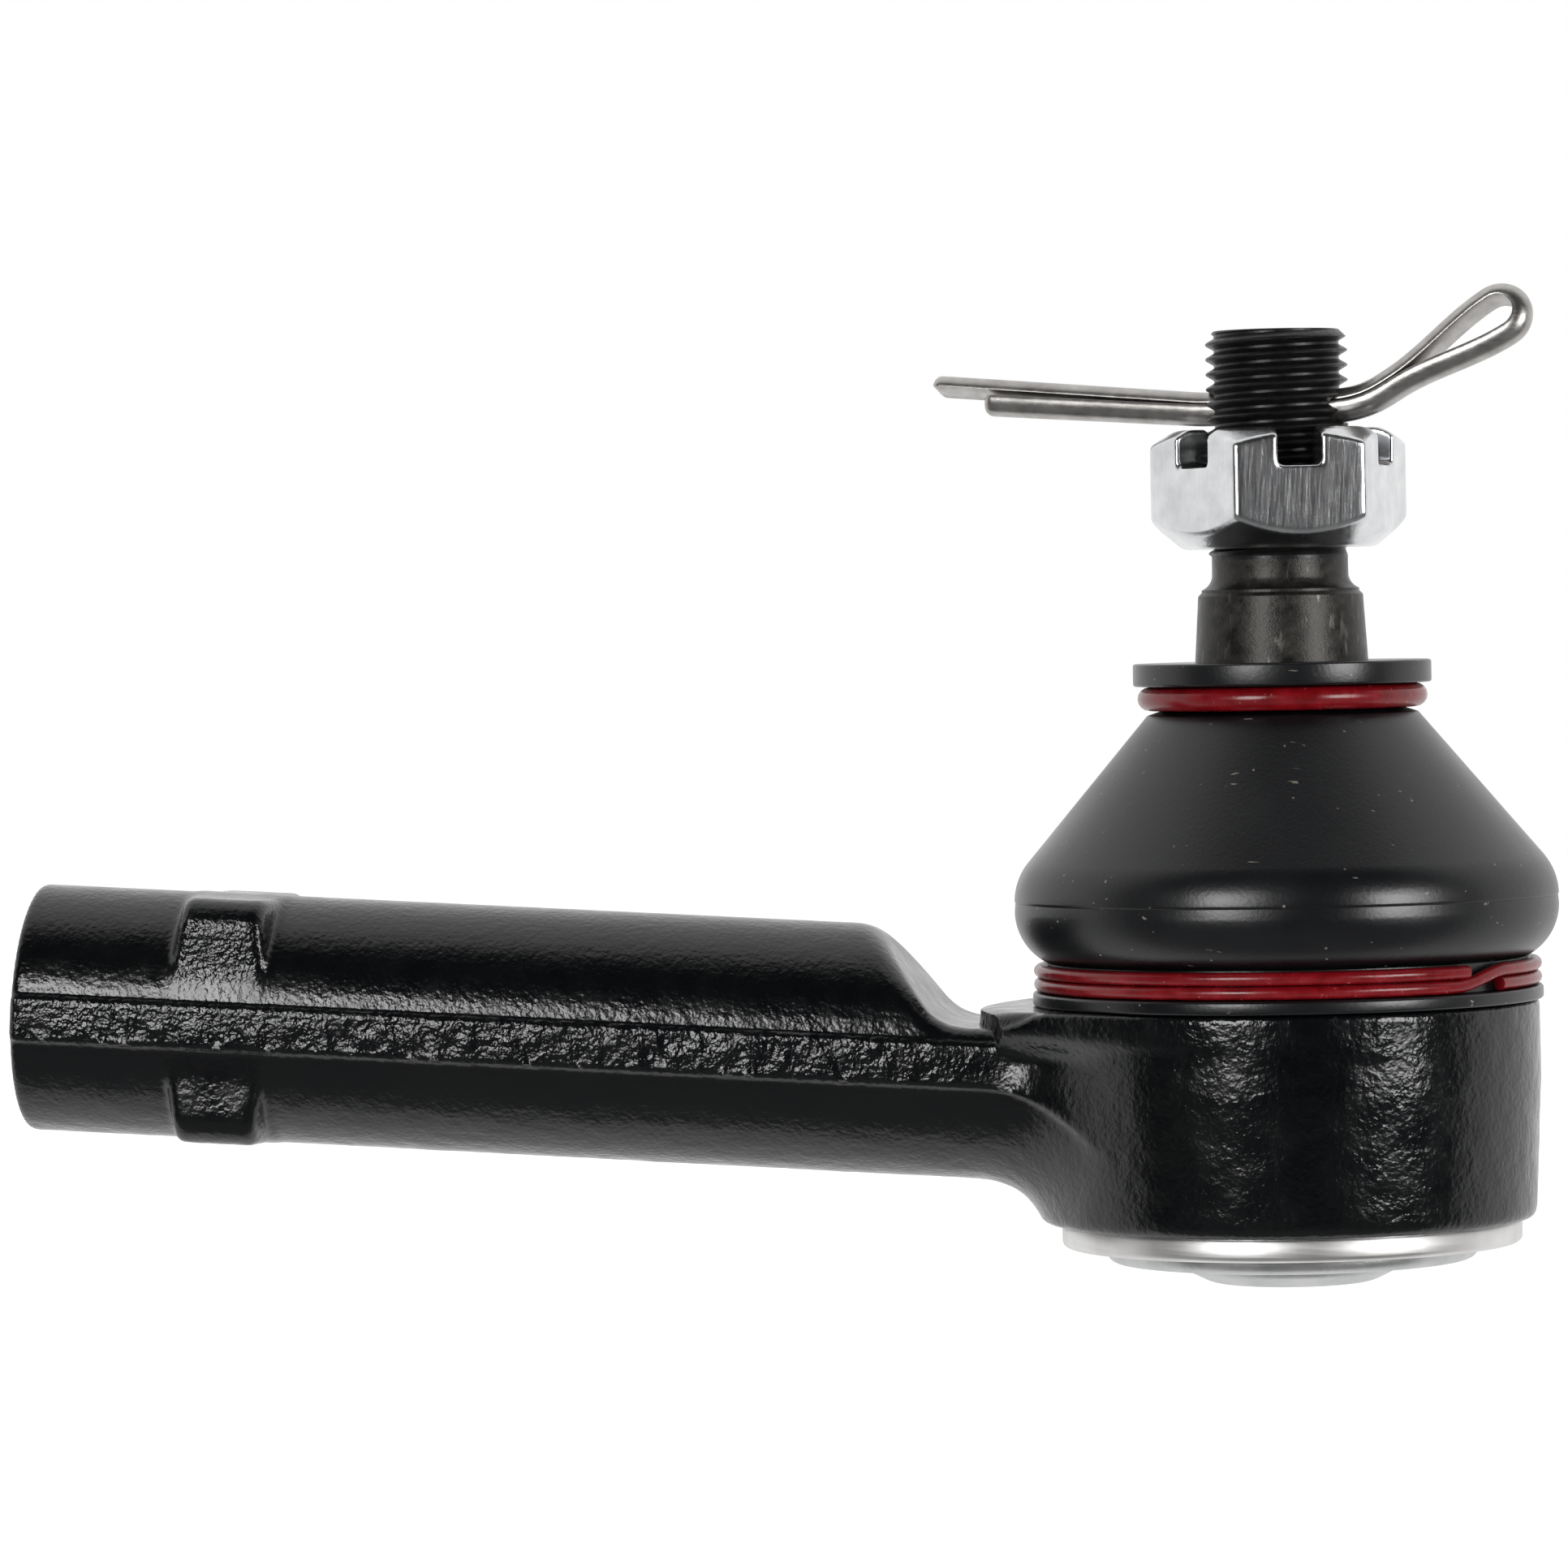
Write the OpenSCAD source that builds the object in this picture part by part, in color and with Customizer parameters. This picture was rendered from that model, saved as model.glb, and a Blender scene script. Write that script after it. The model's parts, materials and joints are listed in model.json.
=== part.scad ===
// Outer tie rod end: a forged housing with a threaded arm, a preloaded ball joint, a rubber dust boot,
// a castle nut and a cotter pin.
// Row frame: the origin is the centre of the arm's end face, +X runs along the arm to the ball, +Z is up.
// Stud frame: the origin is the ball centre, and heights run along the stud axis.

/* [Arm] */
// Distance from the arm's end face to the ball centre
arm_len = 107.7; // [95:0.1:130]
// Diameter of the round arm
arm_d = 21.1; // [17.6:0.1:25.4]
// Height that the trimmed parting ribs stand out of the arm's two sides
rib_rise = 0.2; // [0.1:0.05:0.6]
// Height of the parting ribs along Z
rib_h = 4.5; // [3:0.1:5]
// Length of the arm that is full round, from the end face
round_len = 73; // [60:0.5:76]
// Height of the neck's upper face above the arm axis
neck_top = 2.7; // [0:0.1:5]
// Angle of the slope from the round arm down to the neck
neck_slope = 46; // [30:1:70]
// Chamfer on the outer edge of the end face
end_chamfer = 0.5; // [0:0.1:1.5]
// Distance from the end face to the wrench square
square_start = 13.5; // [6:0.5:20]
// Length of the wrench square
square_len = 8.5; // [5:0.5:14]
// Height that the wrench square's flats stand above the round arm
square_rise = 0.1; // [0.05:0.05:1]
// Radius of the wrench square's corners
square_corner_r = 3; // [1:0.1:5]
// Minor diameter of the rod thread, M14 x 1.5
rod_bore_d = 12.38; // [10:0.01:15]
// Depth of the rod thread
rod_bore_depth = 50; // [30:1:58]
// Full point angle of the drill at the bore's end
drill_angle = 118; // [90:1:140]

/* [Socket] */
// Angle that the stud axis leans towards the arm's free end
stud_lean = 3.5; // [0:0.5:10]
// Wall of the socket outside the bearing cavity
socket_wall = 5.75; // [4:0.05:8]
// Height of the socket's upper face above the ball centre
socket_top = 5.7; // [4.7:0.1:7]
// Height of the collar that the boot grips, above the socket's upper face
collar_h = 4.6; // [3.8:0.1:6]
// Radius of the collar
collar_r = 18.6; // [17.6:0.1:22]
// Depth from the ball's lowest point to the socket's painted lower edge
socket_floor = 1.5; // [1:0.1:3]
// Height of the machined lip below the painted edge
lip_h = 1.6; // [1.3:0.1:2.4]
// Step from the socket's side to the machined lip
lip_step = 1.75; // [1:0.05:2.2]
// Thickness of the lip that is rolled under the cover plate
lip_roll_t = 1; // [0.6:0.1:1.3]
// Radius of the lip's outer lower edge
lip_edge_r = 0.8; // [0.2:0.1:1]
// Clearance between the ball's track at the upper seat and the lower edge of the socket's mouth
mouth_clear = 0.18; // [0.1:0.02:0.5]
// Growth of the mouth's radius over the collar's height
mouth_flare = 2.1; // [1.8:0.1:2.6]

/* [Ball stud] */
// Diameter of the ball
ball_d = 23; // [19:0.1:28]
// Depth of the flat on the bottom of the ball
ball_flat = 1.6; // [0.5:0.1:3]
// Diameter of the neck above the ball
neck_d = 11; // [9:0.1:12.4]
// Diameter of the taper at the boot's upper face
taper_d = 14.5; // [13:0.1:17.4]
// Length of taper for each millimetre of diameter
taper_ratio = 8; // [6:0.5:12]
// Height of the taper's large end above the ball centre
taper_low = 23.5; // [20:0.5:27]
// Length of the flare from the neck up to the taper
flare_h = 4.5; // [3:0.5:6]
// Height of the taper's small end above the ball centre
taper_high = 39.8; // [36.5:0.1:41]
// Length of the concave shoulder above the taper
shoulder_h = 1.5; // [0.5:0.1:2]
// Depth of the relief between the shoulder and the thread, below the thread's crest
relief_step = 0.25; // [0.1:0.05:0.8]
// Crest diameter of the stud thread, M12 x 1.25
thread_d = 11.9; // [9.9:0.1:14.2]
// Height of the top of the stud above the ball centre
stud_top = 62; // [60:0.5:74]
// Length of thread that shows below the nut
thread_show = 0.6; // [0.3:0.1:1.2]
// Chamfer at the top of the stud
stud_chamfer = 0.7; // [0.2:0.1:1.5]
// Diameter of the cotter pin hole
pin_hole_d = 3.2; // [2.9:0.1:4]
// Height of the cotter pin hole above the nut's upper face
pin_hole_rise = 1.8; // [1.5:0.1:3]

/* [Bearing] */
// Wall of the ball seats at the ball's equator
seat_wall = 3.7; // [3:0.1:5.5]
// Height of the upper seat above the ball centre
seat_top = 5.6; // [4.6:0.1:6.8]
// Gap between the two seats
seat_split = 0.4; // [0.2:0.1:1]
// Depth of the lower seat below the ball's lowest point
seat_floor = 0.4; // [0.2:0.1:1]
// Radius of the grease hole in the lower seat
grease_r = 5; // [3:0.1:6]
// Thickness of the preload disc spring
spring_t = 0.9; // [0.5:0.1:1.2]
// Inner radius of the preload disc spring
spring_in_r = 8; // [6:0.1:10]
// Thickness of the cover plate
plate_t = 1.6; // [1.2:0.1:2]
// Depth that the cover plate's step stands below the rolled lip
plate_step = 1.35; // [0.5:0.05:1.8]
// Width of the cover plate's flange that the lip is rolled over
lip_roll_w = 1.6; // [1.2:0.1:2.2]
// Step from the bearing cavity out to the cover plate's step
step_out = 0.3; // [0.2:0.1:0.8]
// Wall of the cover plate's step
step_wall = 1.1; // [0.8:0.1:1.5]
// Clearance between the lower seat and the cover plate's flange
plate_clear = 0.3; // [0.1:0.1:0.6]
// Radius of the cover plate's dome
dome_r = 9.3; // [7:0.1:11]
// Depth of the dome below the step
dome_h = 1.85; // [0.6:0.05:2.4]

/* [Boot] */
// Largest diameter of the dust boot
boot_d = 45.6; // [43:0.1:54.8]
// Wall of the dust boot
boot_wall = 1.6; // [1:0.1:2.2]
// Height of the boot's parting seam above the ball centre
seam_h = 15.2; // [14.4:0.1:17]
// Radius of the bulge above the seam
bulge_up_r = 5.2; // [4:0.1:7]
// Radius of the bulge below the seam
bulge_low_r = 4.85; // [4.7:0.05:6]
// Height of the boot's upper face above the ball centre
boot_top = 34.25; // [31:0.05:36]
// Diameter of the disc at the boot's upper face
boot_lip_d = 25; // [23:0.1:30]
// Thickness of that disc
boot_lip_t = 1.9; // [1:0.1:2.5]
// Width of the boot's lower flange beyond the collar
flange_w = 2.8; // [2:0.1:3.3]
// Thickness of the boot's lower flange
flange_t = 1.15; // [0.8:0.05:1.6]
// Thickness of the boot's bead under the lower ring
bead_t = 1.45; // [1:0.05:2]
// Wire diameter of the upper ring
upper_wire_d = 2; // [1.6:0.1:2.4]
// Outer diameter of the upper ring
upper_ring_d = 24.3; // [21:0.1:26]
// Step from the upper ring's groove out to the boot's cone
groove_step = 1.25; // [0.8:0.05:1.8]
// Height of that step's slope
groove_slope = 0.4; // [0.2:0.1:0.8]
// Wire diameter of the lower ring
lower_wire_d = 1.15; // [0.9:0.05:1.3]
// Number of turns of the lower ring
lower_turns = 2; // [2:1:3]

/* [Nut and pin] */
// Size across flats of the castle nut
nut_af = 19; // [17:0.1:23]
// Height of the castle nut
nut_h = 10; // [8:0.1:12]
// Height of the nut's lower face above the ball centre
nut_low = 43.75; // [43.6:0.05:48]
// Width of the nut's slots
slot_w = 3.7; // [3:0.1:4.5]
// Depth of the nut's slots
slot_depth = 3.2; // [2:0.1:4]
// Turn of the nut and pin about the stud axis, anticlockwise from above
nut_turn = 15; // [0:1:59]
// Step from the nut's flats in to the edge of its upper face
nut_chamfer = 0.95; // [0.3:0.05:1.5]
// Step from the nut's flats in to the edge of its lower face
nut_low_chamfer = 1.45; // [0.3:0.05:1.8]
// Slope of the chamfer at the nut's lower face
nut_low_slope = 40; // [20:1:50]
// Radius of the cotter pin's two half-round wires together
pin_r = 1.4; // [1.1:0.05:1.4]
// Reach of the longer leg from the stud axis
pin_long = 31; // [20:0.5:40]
// Reach of the shorter leg from the stud axis
pin_short = 26; // [16:0.5:36]
// Reach of the pin's eye from the stud axis
pin_eye_reach = 21.5; // [16:0.5:30]
// Upward bend of the pin on the eye's side
pin_bend = 34; // [0:1:60]
// Rise of the legs on the other side
leg_rise = 5; // [0:1:20]
// Gap between the flats of the two legs
leg_gap = 0.2; // [0.1:0.05:0.6]
// Roll of the pin about its own axis
pin_roll = 21; // [0:1:45]
// Inner radius of the pin's eye
eye_in_r = 1.1; // [0.8:0.1:2]

/* [Hidden] */
$fn = 96;
// Running gap between the ball and its seats
ball_gap = 0.05;
// Gap between parts that rest on or grip each other
fit_gap = 0.05;
// Step from the pin's legs down to its eye, all round the section
eye_step = 0.02;
// Overlap of the pin's legs and its eye
eye_lap = 0.1;
// Clearance between the stud's thread and the start of the pin's bends
exit_gap = 0.25;
// Growth of the pin's bends over its wire
bend_grow = 0.1;
// Height of the collar's edge that the boot's inner wall leaves free
collar_free = 0.3;
// Overshoot of cutting solids
cut = 1;

arm_r = arm_d / 2;
ball_r = ball_d / 2;
seat_in_r = ball_r + ball_gap;
seat_r = seat_in_r + seat_wall;
cavity_r = seat_r + fit_gap;
socket_r = cavity_r + socket_wall;
cavity_top = seat_top + fit_gap;
collar_top = socket_top + collar_h;
socket_low = -(ball_r + socket_floor);
lip_r = socket_r - lip_step;
lip_low = socket_low - lip_h;
seat_low = -(ball_r + seat_floor);

// Cover plate: a flange held by the rolled lip, a step, and a dome
step_r = cavity_r + step_out;
flange_r = step_r + lip_roll_w;
flange_up = seat_low - plate_clear;
flange_low = lip_low + lip_roll_t;
step_low = lip_low - plate_step;
step_edge = 0.3;
dish_r = step_r - step_wall;
dish_floor = step_low + plate_t;
dome_low = step_low - dome_h;
dome_shoulder_w = 0.8;
dome_slope_w = 1.8;
dome_shoulder = [dome_r - dome_shoulder_w, dome_low + dome_h / 2];
dome_flat_r = dome_r - dome_shoulder_w - dome_slope_w;

// Mouth of the socket: a cone that clears the neck at the full tilt, with a ledge over the upper seat
mouth_low_r = sqrt(seat_in_r * seat_in_r - cavity_top * cavity_top) + mouth_clear;
mouth_high_r = mouth_low_r + mouth_flare;

// Ball stud
thread_r = thread_d / 2;
relief_r = thread_r - relief_step;
nut_top = nut_low + nut_h;
pin_h = nut_top + pin_hole_rise;
flare_low = taper_low - flare_h;
thread_low = nut_low - thread_show;
shoulder_r = shoulder_h * 0.7;
function taper_r(h) = taper_d / 2 + (boot_top - h) / (2 * taper_ratio);

// Boot: the cone is tangent to the upper bulge and ends below the upper ring
boot_r = boot_d / 2;
groove_r = upper_ring_d / 2 - upper_wire_d - fit_gap;
upper_ring_h = boot_top - boot_lip_t - fit_gap - upper_wire_d / 2;
cone_top_r = groove_r + groove_step;
cone_top_h = upper_ring_h - upper_wire_d / 2 - groove_slope;
bulge_up = [boot_r - bulge_up_r, seam_h];
bead_in_r = collar_r + fit_gap;
bead_r = bead_in_r + bead_t;
flange_bottom = socket_top + fit_gap;
flange_top = flange_bottom + flange_t;

// The lower bulge meets the bead just above the lower ring, and never dips below the ring's top
lower_ring_top = flange_top + fit_gap + lower_turns * lower_wire_d;
bead_turn = acos((bead_r - boot_r) / bulge_low_r + 1);
bulge_drop = bead_turn < 90 ? bulge_low_r * sin(bead_turn) : bulge_low_r;
bulge_low = [boot_r - bulge_low_r, lower_ring_top + fit_gap + bulge_drop];
to_cone = [cone_top_r, cone_top_h] - bulge_up;
cone_turn = atan2(to_cone[1], to_cone[0]) - acos(bulge_up_r / norm(to_cone));
bulge_steps = 8;

function arc(centre, r, from, to, steps) = [
    for (i = [0:steps]) let (a = from + (to - from) * i / steps) centre + r * [cos(a), sin(a)]
];

// Puts its children in the stud frame
module at_ball() {
    translate([arm_len, 0, 0]) rotate([0, -stud_lean, 0]) children();
}

module along_x() {
    rotate([0, 90, 0]) children();
}

module rounded_square(size, r) {
    inner = size - 2 * r;
    square([size, inner], center = true);
    square([inner, size], center = true);
    for (x = [-1, 1], y = [-1, 1]) translate([x, y] * inner / 2) circle(r);
}

module arm_blank() {
    along_x() cylinder(h = end_chamfer, r1 = arm_r - end_chamfer, r2 = arm_r);
    translate([end_chamfer, 0, 0]) along_x() cylinder(h = arm_len - end_chamfer, r = arm_r);
    translate([square_start, 0, 0]) along_x() linear_extrude(square_len)
        rounded_square(arm_d + 2 * square_rise, square_corner_r);
    translate([end_chamfer, -arm_r - rib_rise, -rib_h / 2])
        cube([arm_len - end_chamfer, arm_d + 2 * rib_rise, rib_h]);
}

// Removes the metal above the neck, between the round arm and the socket
module neck_scoop() {
    rise = arm_d - neck_top;
    run = rise / tan(neck_slope);
    drop = (arm_r - neck_top) / tan(neck_slope);
    rotate([90, 0, 0]) linear_extrude(2 * arm_d, center = true) polygon([
        [round_len + drop - run, neck_top + rise],
        [round_len + drop, neck_top],
        [arm_len + cut, neck_top],
        [arm_len + cut, neck_top + rise]
    ]);
}

module arm() {
    difference() {
        arm_blank();
        neck_scoop();
    }
}

module socket_blank() {
    rotate_extrude() polygon(concat(
        [[0, lip_low]],
        arc([lip_r - lip_edge_r, lip_low + lip_edge_r], lip_edge_r, -90, 0, 3),
        [
            [lip_r, socket_low],
            [socket_r, socket_low],
            [socket_r, socket_top],
            [collar_r, socket_top],
            [collar_r, collar_top],
            [0, collar_top]
        ]
    ));
}

// Bearing cavity, plate recess and mouth
module socket_cavity() {
    rotate_extrude() polygon([
        [0, lip_low - cut],
        [step_r + fit_gap, lip_low - cut],
        [step_r + fit_gap, flange_low],
        [flange_r + fit_gap, flange_low],
        [flange_r + fit_gap, flange_up],
        [cavity_r, flange_up],
        [cavity_r, cavity_top],
        [mouth_low_r, cavity_top],
        [mouth_high_r, collar_top],
        [mouth_high_r, collar_top + cut],
        [0, collar_top + cut]
    ]);
}

module rod_bore() {
    bore_r = rod_bore_d / 2;
    tip = bore_r / tan(drill_angle / 2);
    translate([-cut, 0, 0]) along_x() cylinder(h = rod_bore_depth + cut, r = bore_r);
    translate([rod_bore_depth, 0, 0]) along_x() cylinder(h = tip, r1 = bore_r, r2 = 0);
}

module housing() {
    color("#16181b") difference() {
        union() {
            arm();
            at_ball() socket_blank();
        }
        at_ball() socket_cavity();
        rod_bore();
    }
}

// Upper seat: holds the ball down, with a relief cone for the neck
module upper_ball_seat() {
    color("ivory") at_ball() difference() {
        translate([0, 0, seat_split / 2]) cylinder(h = seat_top - seat_split / 2, r = seat_r);
        sphere(seat_in_r);
    }
}

// Lower seat: a cup under the ball, open in the middle for grease
module lower_ball_seat() {
    color("ivory") at_ball() difference() {
        translate([0, 0, seat_low]) cylinder(h = -seat_low - seat_split / 2, r = seat_r);
        sphere(seat_in_r);
        translate([0, 0, seat_low - cut]) cylinder(h = ball_r, r = grease_r);
    }
}

// Disc spring between the cover plate and the lower seat
module preload_spring() {
    low = dish_floor + fit_gap;
    high = seat_low - fit_gap;
    outer = dish_r - plate_clear;
    color("slategray") at_ball() rotate_extrude() polygon([
        [spring_in_r, high - spring_t],
        [outer, low],
        [outer, low + spring_t],
        [spring_in_r, high]
    ]);
}

module cover_plate() {
    edge = plate_t / 2;
    color("silver") at_ball() rotate_extrude() polygon([
        [0, dome_low],
        [dome_flat_r, dome_low],
        dome_shoulder,
        [dome_r, step_low],
        [step_r - step_edge, step_low],
        [step_r, step_low + step_edge],
        [step_r, flange_low + fit_gap],
        [flange_r, flange_low + fit_gap],
        [flange_r, flange_up - fit_gap],
        [dish_r, flange_up - fit_gap],
        [dish_r, dish_floor],
        [dome_r - edge, dish_floor],
        [dome_r - 2 * edge, dome_low + plate_t],
        [0, dome_low + plate_t]
    ]);
}

module stud_profile() {
    polygon(concat(
        [
            [0, 0],
            [neck_d / 2, 0],
            [neck_d / 2, flare_low],
            [taper_r(taper_low), taper_low],
            [taper_r(taper_high), taper_high]
        ],
        arc(
            [relief_r + shoulder_r, taper_high + shoulder_h],
            shoulder_r, -110, -180, 5
        ),
        [
            [relief_r, thread_low],
            [thread_r, thread_low + relief_step],
            [thread_r, stud_top - stud_chamfer],
            [thread_r - stud_chamfer, stud_top],
            [0, stud_top]
        ]
    ));
}

module ball_stud() {
    color("#3a3b3c") at_ball() difference() {
        union() {
            sphere(ball_r);
            rotate_extrude() stud_profile();
        }
        translate([0, 0, -ball_r - cut]) cylinder(h = ball_flat + cut, r = ball_r);
        translate([0, 0, pin_h]) rotate([0, 90, -nut_turn])
            cylinder(h = 2 * thread_d, r = pin_hole_d / 2, center = true);
    }
}

module dust_boot() {
    wall_in = boot_wall * [cos(cone_turn), sin(cone_turn)];
    lip_low_h = cone_top_h - wall_in[1];
    color("#1d1e20") at_ball() rotate_extrude() polygon(concat(
        [
            [bead_in_r, flange_bottom],
            [collar_r + flange_w, flange_bottom],
            [collar_r + flange_w, flange_top],
            [bead_r, flange_top]
        ],
        arc(bulge_low, bulge_low_r, -bead_turn, 0, bulge_steps),
        arc(bulge_up, bulge_up_r, 0, cone_turn, bulge_steps),
        [
            [cone_top_r, cone_top_h],
            [groove_r, cone_top_h + groove_slope],
            [groove_r, boot_top - boot_lip_t],
            [boot_lip_d / 2, boot_top - boot_lip_t],
            [boot_lip_d / 2, boot_top],
            [taper_r(boot_top) + fit_gap, boot_top],
            [taper_r(lip_low_h) + fit_gap, lip_low_h],
            [cone_top_r - wall_in[0], lip_low_h]
        ],
        arc(bulge_up, bulge_up_r - boot_wall, cone_turn, 0, bulge_steps),
        arc(bulge_low, bulge_low_r - boot_wall, 0, -bead_turn, bulge_steps),
        [[bead_in_r, collar_top - collar_free]]
    ));
}

// Wound wire ring that holds the boot's lower bead to the collar
module boot_lower_ring() {
    wire_r = lower_wire_d / 2;
    centre_r = bead_r + fit_gap + wire_r;
    first_h = flange_top + fit_gap + wire_r;
    span = (lower_turns - 1) * lower_wire_d;
    color("#8e1c22") at_ball() rotate_extrude() {
        for (turn = [0:lower_turns - 1])
            translate([centre_r, first_h + turn * lower_wire_d]) circle(wire_r);
        translate([centre_r - wire_r / 2, first_h]) square([wire_r, span]);
    }
}

module boot_upper_ring() {
    wire_r = upper_wire_d / 2;
    color("#8e1c22") at_ball() rotate_extrude()
        translate([upper_ring_d / 2 - wire_r, upper_ring_h]) circle(wire_r);
}

module castle_nut() {
    corner_r = nut_af / sqrt(3);
    face_r = nut_af / 2 - nut_chamfer;
    low_face_r = nut_af / 2 - nut_low_chamfer;
    rise = (corner_r - face_r) * tan(30);
    color("lightgray") at_ball() translate([0, 0, nut_low]) rotate([0, 0, nut_turn]) difference() {
        intersection() {
            cylinder(h = nut_h, r = corner_r, $fn = 6);
            rotate_extrude() polygon([
                [0, 0],
                [low_face_r, 0],
                [corner_r + cut, (corner_r + cut - low_face_r) * tan(nut_low_slope)],
                [corner_r + cut, nut_h - rise - cut * tan(30)],
                [face_r, nut_h],
                [0, nut_h]
            ]);
        }
        translate([0, 0, -cut]) cylinder(h = nut_h + 2 * cut, r = thread_r + fit_gap);
        for (turn = [0, 60, 120]) rotate([0, 0, turn])
            translate([0, 0, nut_h - slot_depth / 2 + cut / 2])
            cube([slot_w, 2 * nut_af, slot_depth + cut], center = true);
    }
}

// Half-round bar along +X, flat side on the XY plane: side is 1 above it and -1 below it
module half_bar(length, side) {
    along_x() linear_extrude(length) intersection() {
        circle(pin_r);
        translate([-side * pin_r, 0]) square(2 * pin_r, center = true);
    }
}

// Pin frame: the hole's axis is X, with the eye on the +X side
module cotter_pin() {
    exit_x = thread_r + exit_gap;
    bend_r = pin_r + bend_grow;
    eye_x = (pin_eye_reach - exit_x) / cos(pin_bend) - eye_in_r - pin_r;
    spread = asin(eye_in_r / eye_x);
    color("darkgray") at_ball() translate([0, 0, pin_h]) rotate([-pin_roll, 0, -nut_turn]) {
        along_x() cylinder(h = 2 * exit_x, r = pin_r, center = true);
        for (x = [-exit_x, exit_x]) translate([x, 0, 0]) sphere(bend_r);
        translate([-exit_x, 0, 0]) for (side = [-1, 1]) {
            reach = (side > 0 ? pin_long : pin_short) - exit_x;
            translate([0, 0, side * leg_gap / 2]) rotate([180, 180 + leg_rise, 0])
                half_bar(reach / cos(leg_rise), side);
        }
        translate([exit_x, 0, 0]) rotate([0, -pin_bend, 0]) {
            for (side = [-1, 1]) rotate([0, -side * spread, 0])
                half_bar(eye_x * cos(spread) + eye_lap, side);
            translate([eye_x, 0, 0]) rotate([90, 0, 0]) rotate([0, 0, -90 - spread])
                rotate_extrude(angle = 180 + 2 * spread) intersection() {
                    translate([eye_in_r, 0]) circle(pin_r - eye_step);
                    translate([eye_in_r + eye_step, -pin_r]) square(2 * pin_r);
                }
        }
    }
}

housing();
upper_ball_seat();
lower_ball_seat();
preload_spring();
cover_plate();
ball_stud();
dust_boot();
boot_lower_ring();
boot_upper_ring();
castle_nut();
cotter_pin();
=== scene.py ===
"""Looks of the outer tie rod end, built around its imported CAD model.

Shapes are worked out in millimetres, in the row frame (origin on the arm's end face, +X along the arm)
or in the stud frame (origin at the ball centre, heights along the stud), and stored in metres.
"""

import math
from itertools import product

import bmesh
import bpy
import numpy as np
from mathutils import Matrix, Vector
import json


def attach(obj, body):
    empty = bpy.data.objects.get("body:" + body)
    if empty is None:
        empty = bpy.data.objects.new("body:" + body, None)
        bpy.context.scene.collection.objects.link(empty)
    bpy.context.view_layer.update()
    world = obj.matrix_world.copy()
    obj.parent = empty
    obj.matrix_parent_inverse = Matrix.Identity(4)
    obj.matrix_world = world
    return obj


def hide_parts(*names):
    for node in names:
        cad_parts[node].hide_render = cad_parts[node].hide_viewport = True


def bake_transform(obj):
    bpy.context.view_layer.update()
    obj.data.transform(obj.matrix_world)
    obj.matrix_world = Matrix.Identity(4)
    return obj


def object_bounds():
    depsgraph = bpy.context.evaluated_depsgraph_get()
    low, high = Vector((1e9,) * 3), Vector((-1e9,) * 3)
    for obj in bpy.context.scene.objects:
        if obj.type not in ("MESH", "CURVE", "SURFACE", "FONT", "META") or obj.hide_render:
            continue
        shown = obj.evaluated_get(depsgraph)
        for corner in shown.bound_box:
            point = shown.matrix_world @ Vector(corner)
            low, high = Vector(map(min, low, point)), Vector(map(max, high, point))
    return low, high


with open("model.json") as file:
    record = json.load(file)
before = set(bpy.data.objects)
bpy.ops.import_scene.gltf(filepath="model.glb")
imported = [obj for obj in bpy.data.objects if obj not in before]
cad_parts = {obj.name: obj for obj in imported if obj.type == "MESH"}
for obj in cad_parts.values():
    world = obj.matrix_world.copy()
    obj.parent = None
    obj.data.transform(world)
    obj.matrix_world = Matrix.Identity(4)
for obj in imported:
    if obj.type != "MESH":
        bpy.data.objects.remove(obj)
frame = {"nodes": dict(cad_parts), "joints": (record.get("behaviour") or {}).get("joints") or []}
cad_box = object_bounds()

MM = 0.001

# ---------------------------------------------------------------- places, from the frame

joints = {joint["name"]: joint for joint in frame["joints"]}
BALL = np.array(joints["stud_turn"]["pos_m"]) / MM
UP = np.array(joints["stud_turn"]["axis"])
SIDE = np.array(joints["tilt_along"]["axis"], float)
FORE = np.cross(SIDE, UP)
STUD_AXES = np.array([FORE, SIDE, UP])


def to_row(points):
    return np.asarray(points) @ STUD_AXES + BALL


def to_stud(points):
    return (points - BALL) @ STUD_AXES.T


def node_points(node):
    """Corners of a CAD node, in millimetres in the row frame."""
    mesh = frame["nodes"][node].data
    flat = np.zeros(len(mesh.vertices) * 3, np.float32)
    mesh.vertices.foreach_get("co", flat)
    return flat.reshape(-1, 3).astype(float) / MM


def turned_size(node):
    """Radius and height of each corner of a CAD node about the stud's axis."""
    points = to_stud(node_points(node))
    return np.hypot(points[:, 0], points[:, 1]), points[:, 2]


def middle(values):
    return (values.min() + values.max()) / 2


_, housing_h = turned_size("housing")
boot_r, boot_h = turned_size("dust_boot")
upper_ring_r, upper_ring_h = turned_size("boot_upper_ring")
lower_ring_r, lower_ring_h = turned_size("boot_lower_ring")
plate_r, plate_h = turned_size("cover_plate")
stud_r, stud_h = turned_size("ball_stud")
nut_r, nut_h = turned_size("castle_nut")
seat_r, _ = turned_size("lower_ball_seat")

# ---------------------------------------------------------------- camera

CAMERA_AZIMUTH = math.radians(7.8)
CAMERA_ELEVATION = math.radians(1.45)
CAMERA_ROLL = math.radians(-1.15)
CAMERA_DISTANCE = 600
CAMERA_LENS = 164.0
CAMERA_SENSOR = 36.0
# The camera's axis passes this far to the left of, and above, a point on the stud's axis
AIM_HEIGHT = 15.4
AIM_RIGHT = -42.15
AIM_UP = 8.55


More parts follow.
